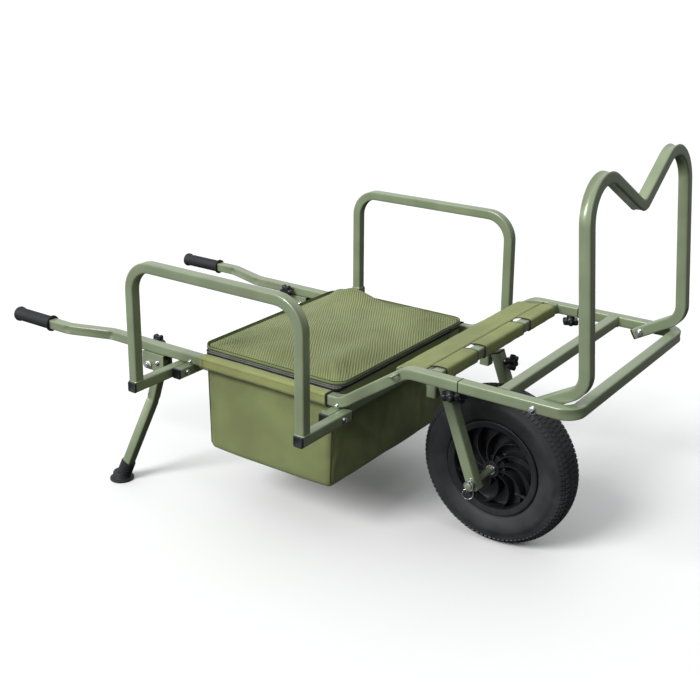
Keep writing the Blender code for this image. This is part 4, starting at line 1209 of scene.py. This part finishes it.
# Each swelling has a centre, a half width each way, and a height.
SWELLINGS = (
    ((-0.580, 0.222), (0.075, 0.075), 0.0260), ((-0.385, 0.215), (0.050, 0.065), 0.0130),
    ((-0.500, -0.020), (0.060, 0.150), 0.0120), ((-0.330, -0.120), (0.050, 0.080), 0.0080),
)
pad = bmesh.new()
pad.from_mesh(cover.data)
bpy.data.objects.remove(cover)
pad.verts.ensure_lookup_table()
for index, vert in enumerate(pad.verts):
    spot = swollen[index]
    x, y = spot.x, spot.y
    edge = min(x - LID_X[0], LID_X[1] - x, LID_HALF - y, LID_HALF + y)
    share = max(0, min(1, edge / 0.042))
    ease = share * share * (3 - 2 * share)
    if start[index].z > lid_half_z:
        lumps = sum(hump(x, y, *swelling) for swelling in SWELLINGS)
        lumps += 0.0065 * wander((x, y, 0), 0.09, 12) + 0.0012 * wander((x, y, 0), 0.04, 13)
        spot.z = min(spot.z + lumps * ease, 0.4500)
    spot.z = max(spot.z, LID_LOW)
    spot.x = max(LID_X[0] - 0.001, min(LID_X[1] + 0.001, spot.x))
    spot.y = max(-LID_HALF - 0.001, min(LID_HALF + 0.001, spot.y))
    vert.co = spot
lid = set_piece("bag_lid_pad", pad, spacer_mesh(), "bag_lid", ["bag_lid"], 80)
smooth = lid.modifiers.new("smooth", "SUBSURF")
smooth.levels = smooth.render_levels = 1

# Lid welt. The pad's edge is rolled in olive cloth, between two dark corded seams.
def lid_outline(grow, height):
    """The lid's outline, grown outwards."""
    return rounded(LID_X[0] - grow, LID_X[1] + grow, LID_HALF + grow, height, 0.032, 10)


cord = bmesh.new()
for grow, height in ((0.0002, 0.4138), (0.0008, 0.4070)):
    join(cord, cord_mesh(lid_outline(grow, height), 0.0011, closed=True))
set_piece("lid_welt_cords", cord, seam_tape_and_shade, "bag_lid")
roll = bmesh.new()
before = 0.0006
dots = [roll.verts.new(spot) for spot in lid_outline(before, 0.4072)]
edges = [roll.edges.new(pair) for pair in zip(dots, dots[1:] + dots[:1])]
for height, grow in ((0.4088, 0.0014), (0.4105, 0.0016), (0.4122, 0.0012), (0.4136, 0.0002)):
    edges, verts = carry_on(roll, edges)
    for vert in verts:
        out = Vector((vert.co.x - lid_middle, vert.co.y, 0))
        inside = Vector((max(-0.171, min(0.171, out.x)), max(-0.24, min(0.24, out.y)), 0))
        vert.co += (out - inside).normalized() * (grow - before)
        vert.co.z = height
    before = grow
set_piece("lid_welt", roll, bag_cloth, "bag_lid", (), 80, (0.0012, -1.0))

# Zip. A size 10 nylon coil zip on black tape runs round three sides, half on the collar, half on
# the lid. Its coil is drawn as one tooth every 3 mm, twice the real pitch, so that the teeth
# show.
coil = moulded("nylon_coil", "#84878A", 0.38)
zip_halves = (
    ("lid_zip", "bag_lid", LID_X, LID_HALF, -0.0005, 0.0322, (0.4022, 0.4068), 0.4036),
    ("collar_zip", "frame", COLLAR_X, COLLAR_HALF, 0.0006, 0.0150, (0.3890, 0.4008), 0.3990),
)
for name, body, (x_low, x_high), half, grow, corner, (low, high), teeth_z in zip_halves:
    x_low, x_high, half = x_low - grow, x_high + grow, half + grow
    # From the hinge side's rear corner, along the rear, near and front sides, to the other end.
    outline = rounded(x_low, x_high, half, 0, corner, 8)
    count = len(outline) // 4
    run = [Vector((x_low + 0.050, half, 0))] + outline[count:] + outline[:count]
    run += [Vector((x_high - 0.050, half, 0))]
    tape = bmesh.new()
    dots = [tape.verts.new((spot.x, spot.y, low)) for spot in run]
    edges = [tape.edges.new(pair) for pair in zip(dots, dots[1:])]
    carry_on(tape, edges, (0, 0, high - low))
    set_piece(name + "_tape", tape, black_tape, body, (), 60, (0.0012, 0.0))
    teeth = bmesh.new()
    middle = Vector(((x_low + x_high) / 2, 0, 0))
    for spot, ahead in walk(run, 0.0030):
        if body == "bag_lid" and spot.y > LID_HALF - 0.006:
            continue
        out = ahead.cross(Vector((0, 0, 1)))
        if out.dot(spot - middle) < 0:
            out = -out
        tooth = box(0.0022, 0.0016, 0.0017)
        aim(tooth, tooth.verts, spot + out * 0.0008 + Vector((0, 0, teeth_z)), ahead, (0, 0, 1))
        join(teeth, tooth)
    set_piece(name + "_teeth", teeth, coil, body)

# Zip slider. A cast slider with a moulded puller on a cord loop, parked at the front left corner.
slider = box(0.0050, 0.0140, 0.0100, (LID_X[1] + 0.0012, 0.205, 0.4020))
round_off(slider, slider.edges[:], 0.0014, 2)
loop = [(LID_X[1] + 0.0045, 0.2020, 0.4030), (LID_X[1] + 0.0062, 0.1960, 0.3990),
        (LID_X[1] + 0.0062, 0.1900, 0.3940), (LID_X[1] + 0.0058, 0.1860, 0.3890)]
join(slider, cord_mesh(loop, 0.0011))
puller = box(0.0034, 0.0072, 0.0220)
round_off(puller, puller.edges[:], 0.0013, 3)
aim(puller, puller.verts, (LID_X[1] + 0.0056, 0.1830, 0.3800), (0, 0.35, 1), (0, 1, 0))
join(slider, puller)
set_piece("zip_slider", slider, nylon, "bag_lid", (), 50)

# Lid hinge. A strip of the bag's cloth is sewn to the collar below and to the lid above.
strip = bmesh.new()
dots = [strip.verts.new((x, COLLAR_HALF + 0.0013, 0.3885)) for x in (-0.612, -0.322)]
edges = [strip.edges.new(dots)]
for step in range(16):
    edges, _ = carry_on(strip, edges, (0, 0, 0.0230 / 16))
hinge = set_piece("lid_hinge_strip", strip, bag_cloth, None, (), 80, (0.0010, 1.0))
line = COLLAR_HALF + 0.0013
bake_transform(hinge)

# Sling. A wide strip of the same oxford lies over the hanging tube and is turned round the front
# tube in three loops, sewn down on top behind it. Two windows between the loops leave the tube
# bare.
SLING_HALF = BETWEEN_RAILS - 0.0007
SEAM_X, LOOP_END, WINDOW = -0.040, 0.255, (0.091, 0.125)
fit, edge_round = TUBE_HALF + 0.0003, 0.0035
back, front = HANGER_X - fit, SLING_TUBE_X + fit
high, low = DECK_Z + fit, DECK_Z - fit
# The sling is drawn in a slightly lighter olive than the bag's own oxford: painted light.
sling_cloth = woven("oxford_sling", "#848B52", (0.02, 1, 0.02), (1, 0.02, 1), 0.0024)


def slope(x):
    """The height of the sling's tight line between the two tubes."""
    start, end = back + edge_round, SLING_TUBE_X - fit + edge_round
    return HANGER_Z + fit + (high - HANGER_Z - fit) * max(0, min(1, (x - start) / (end - start)))


section = [(back, HANGER_Z - 0.009), (back, HANGER_Z + fit - edge_round)]
section += [(back + 0.001, HANGER_Z + fit - 0.001), (back + edge_round, HANGER_Z + fit)]
section += [(x / 1000, slope(x / 1000)) for x in range(-102, -40, 6)]
section += [(SEAM_X, slope(SEAM_X)), (-0.034, slope(-0.034)), (SLING_TUBE_X - 0.009, high)]
section += [(SLING_TUBE_X + 0.002, high), (front - edge_round, high), (front - 0.001, high - 0.001)]
section += [(front, high - edge_round), (front, DECK_Z + 0.004), (front, DECK_Z - 0.004)]
section += [(front, low + edge_round), (front - 0.001, low + 0.001), (front - edge_round, low)]
section += [(SLING_TUBE_X, low), (SLING_TUBE_X - 0.010, low), (SLING_TUBE_X - 0.020, low)]
keys = [-SLING_HALF, -LOOP_END, -WINDOW[1], -WINDOW[0], WINDOW[0], WINDOW[1], LOOP_END, SLING_HALF]
stops = []
for start, end in zip(keys, keys[1:]):
    parts = max(2, round((end - start) / 0.006))
    stops += [start + (end - start) * k / parts for k in range(parts)]
stops.append(SLING_HALF)
strip = bmesh.new()
dots = [strip.verts.new((x, stops[0], z)) for x, z in section]
edges = [strip.edges.new(pair) for pair in zip(dots, dots[1:])]
for before, after in zip(stops, stops[1:]):
    edges, _ = carry_on(strip, edges, (0, after - before, 0))
gone = []
for face in strip.faces:
    middle = face.calc_center_median()
    ahead_of_seam = middle.x > SEAM_X or middle.z < DECK_Z - 0.005 and middle.x > -0.045
    bare = abs(middle.y) > LOOP_END or WINDOW[0] < abs(middle.y) < WINDOW[1]
    if ahead_of_seam and bare:
        gone.append(face)
bmesh.ops.delete(strip, geom=gone, context="FACES")
for vert in strip.verts:
    x, y, z = vert.co
    if z > HANGER_Z and x < SEAM_X and x > back + 0.02:
        share = max(0, min(1, (x - (HANGER_X + fit)) / (SLING_TUBE_X - fit - HANGER_X - fit)))
        dip = math.sin(math.pi * share)
        vert.co.z -= dip * (0.0030 + 0.0016 * wander((x * 0.5, y, 0), 0.05, 31))
        vert.co.z += dip * 0.0014 * wander((x + y * 0.6, y, 0), 0.028, 32)
    else:
        out = Vector((x - SLING_TUBE_X, 0, z - DECK_Z)) if x > SEAM_X else Vector((0, 0, 1))
        lift = 0.0006 + 0.0009 * wander(vert.co, 0.022, 33) + 0.0007 * wander(vert.co, 0.060, 34)
        vert.co += out.normalized() * max(0, lift)
name = "sling_cloth"
sling = set_piece(name, strip, sling_cloth, "frame", ["sling"], 80, (0.0015, 1.0))
if sum(face.normal.z * face.area for face in sling.data.polygons) < 0:
    sling.data.flip_normals()
# The cut is 548 mm by 196 mm, less the two windows and the two short ends of the loops.
trim, rows = bmesh.new(), bmesh.new()
turned_over = [Vector((x, 0, z)) for x, z in section if x >= SEAM_X]
for y in keys[1:-1]:
    spots = []
    for spot in turned_over:
        out = (spot - Vector((SLING_TUBE_X, 0, DECK_Z))).normalized()
        spots.append(spot + out * 0.0016 + Vector((0, y, 0)))
    join(trim, cord_mesh(spots, 0.0012))
set_piece("sling_loop_binding", trim, black_tape, "frame")
for x, lift in ((SEAM_X + 0.0015, 0.0022), (SEAM_X - 0.0055, 0.0012)):
    line = [(x, y, slope(x) + lift) for y in (-SLING_HALF + 0.004, SLING_HALF - 0.004)]
    stitches(rows, line, (0, 0, 1))
set_piece("sling_stitches", rows, thread, "frame")
hems = bmesh.new()
for ends in (keys[1:3], keys[3:5], keys[5:7]):
    join(hems, cord_mesh([(SEAM_X - 0.001, y, slope(SEAM_X) + 0.0016) for y in ends], 0.0011))
set_piece("sling_seam_fold", hems, sling_cloth, "frame")

# Studio. A pale matt floor, a soft dome, a wide key light from the cart's right that comes down
# and forward a little, and a weak rim light from ahead of the wheel.
scene = bpy.context.scene
ground = bmesh.new()
bmesh.ops.create_grid(ground, x_segments=1, y_segments=1, size=60)
bmesh.ops.translate(ground, verts=ground.verts, vec=(0, 0, -0.0004))
floor = add_object("studio_floor", bpy.data.meshes.new("studio_floor"))
ground.to_mesh(floor.data)
ground.free()
floor_paint, floor_shader, _ = new_look("matt_white_floor_paint", roughness=0.95)
floor_shader.inputs["Base Color"].default_value = linear("#E4E4E3")
floor.data.materials.append(floor_paint)
floor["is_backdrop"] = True
# The floor gives the cart no light of its own, as under a hung backdrop.
floor.visible_diffuse = floor.visible_glossy = False

# The dome is brightest above the cart's rear, and dim ahead of the wheel.
DOME_SIDE, DOME_DIM, DOME_BRIGHT = (-0.62, 0.10, 0.78), -0.34, 1.15
world = bpy.data.worlds.new("studio_dome")
world.use_nodes = True
bearing = add_node(world, "TexCoord", {}).outputs["Generated"]
facing = add_node(world, "VectorMath", {0: bearing, 1: DOME_SIDE}, operation="DOT_PRODUCT")
facing = facing.outputs["Value"]
fade = {"Value": facing, "From Min": -1.0, "To Min": DOME_DIM, "To Max": DOME_BRIGHT}
fade = add_node(world, "MapRange", fade).outputs[0]
least = add_node(world, "Math", {0: fade, 1: 0.03}, operation="MAXIMUM").outputs[0]
dome = world.node_tree.nodes["Background"]
set_node(world, dome, {"Color": linear("#F4F6F8"), "Strength": least})
scene.world = world


def soft_sun(name, towards, strength, spread):
    """A distant light of the given angular size, whose light travels the way given."""
    lamp = bpy.data.lights.new(name, "SUN")
    lamp.energy = strength
    lamp.angle = math.radians(spread)
    holder = add_object(name, lamp)
    holder.rotation_euler = Vector(towards).to_track_quat("-Z", "Y").to_euler()
    holder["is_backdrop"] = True


soft_sun("key_light", (0.20, 0.84, -0.66), 3.1, 24)
soft_sun("rim_light", (-0.75, 0.25, -0.60), 0.35, 20)
scene.view_settings.view_transform = "Standard"

# Camera. It stands to the right of the wheel at a little over head height and looks down at the
# load.
YAW, PITCH, ROLL = (math.radians(angle) for angle in (35.680, -15.579, 0.326))
ahead = Vector((-math.sin(YAW) * math.cos(PITCH), math.cos(YAW) * math.cos(PITCH), math.sin(PITCH)))
right = Vector((math.cos(YAW), math.sin(YAW), 0))
over = right.cross(ahead)
turned_right = right * math.cos(ROLL) + over * math.sin(ROLL)
lens = bpy.data.cameras.new("camera")
lens.sensor_width = 36
lens.lens = 57.50
lens.shift_y = -0.15
lens.clip_end = 300
camera = add_object("camera", lens)
axes = Matrix((turned_right, turned_right.cross(ahead), -ahead)).transposed().to_4x4()
camera.matrix_world = Matrix.Translation((1.1015 + AXLE_X, -2.1388, 1.3791)) @ axes
scene.camera = camera

low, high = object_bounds()
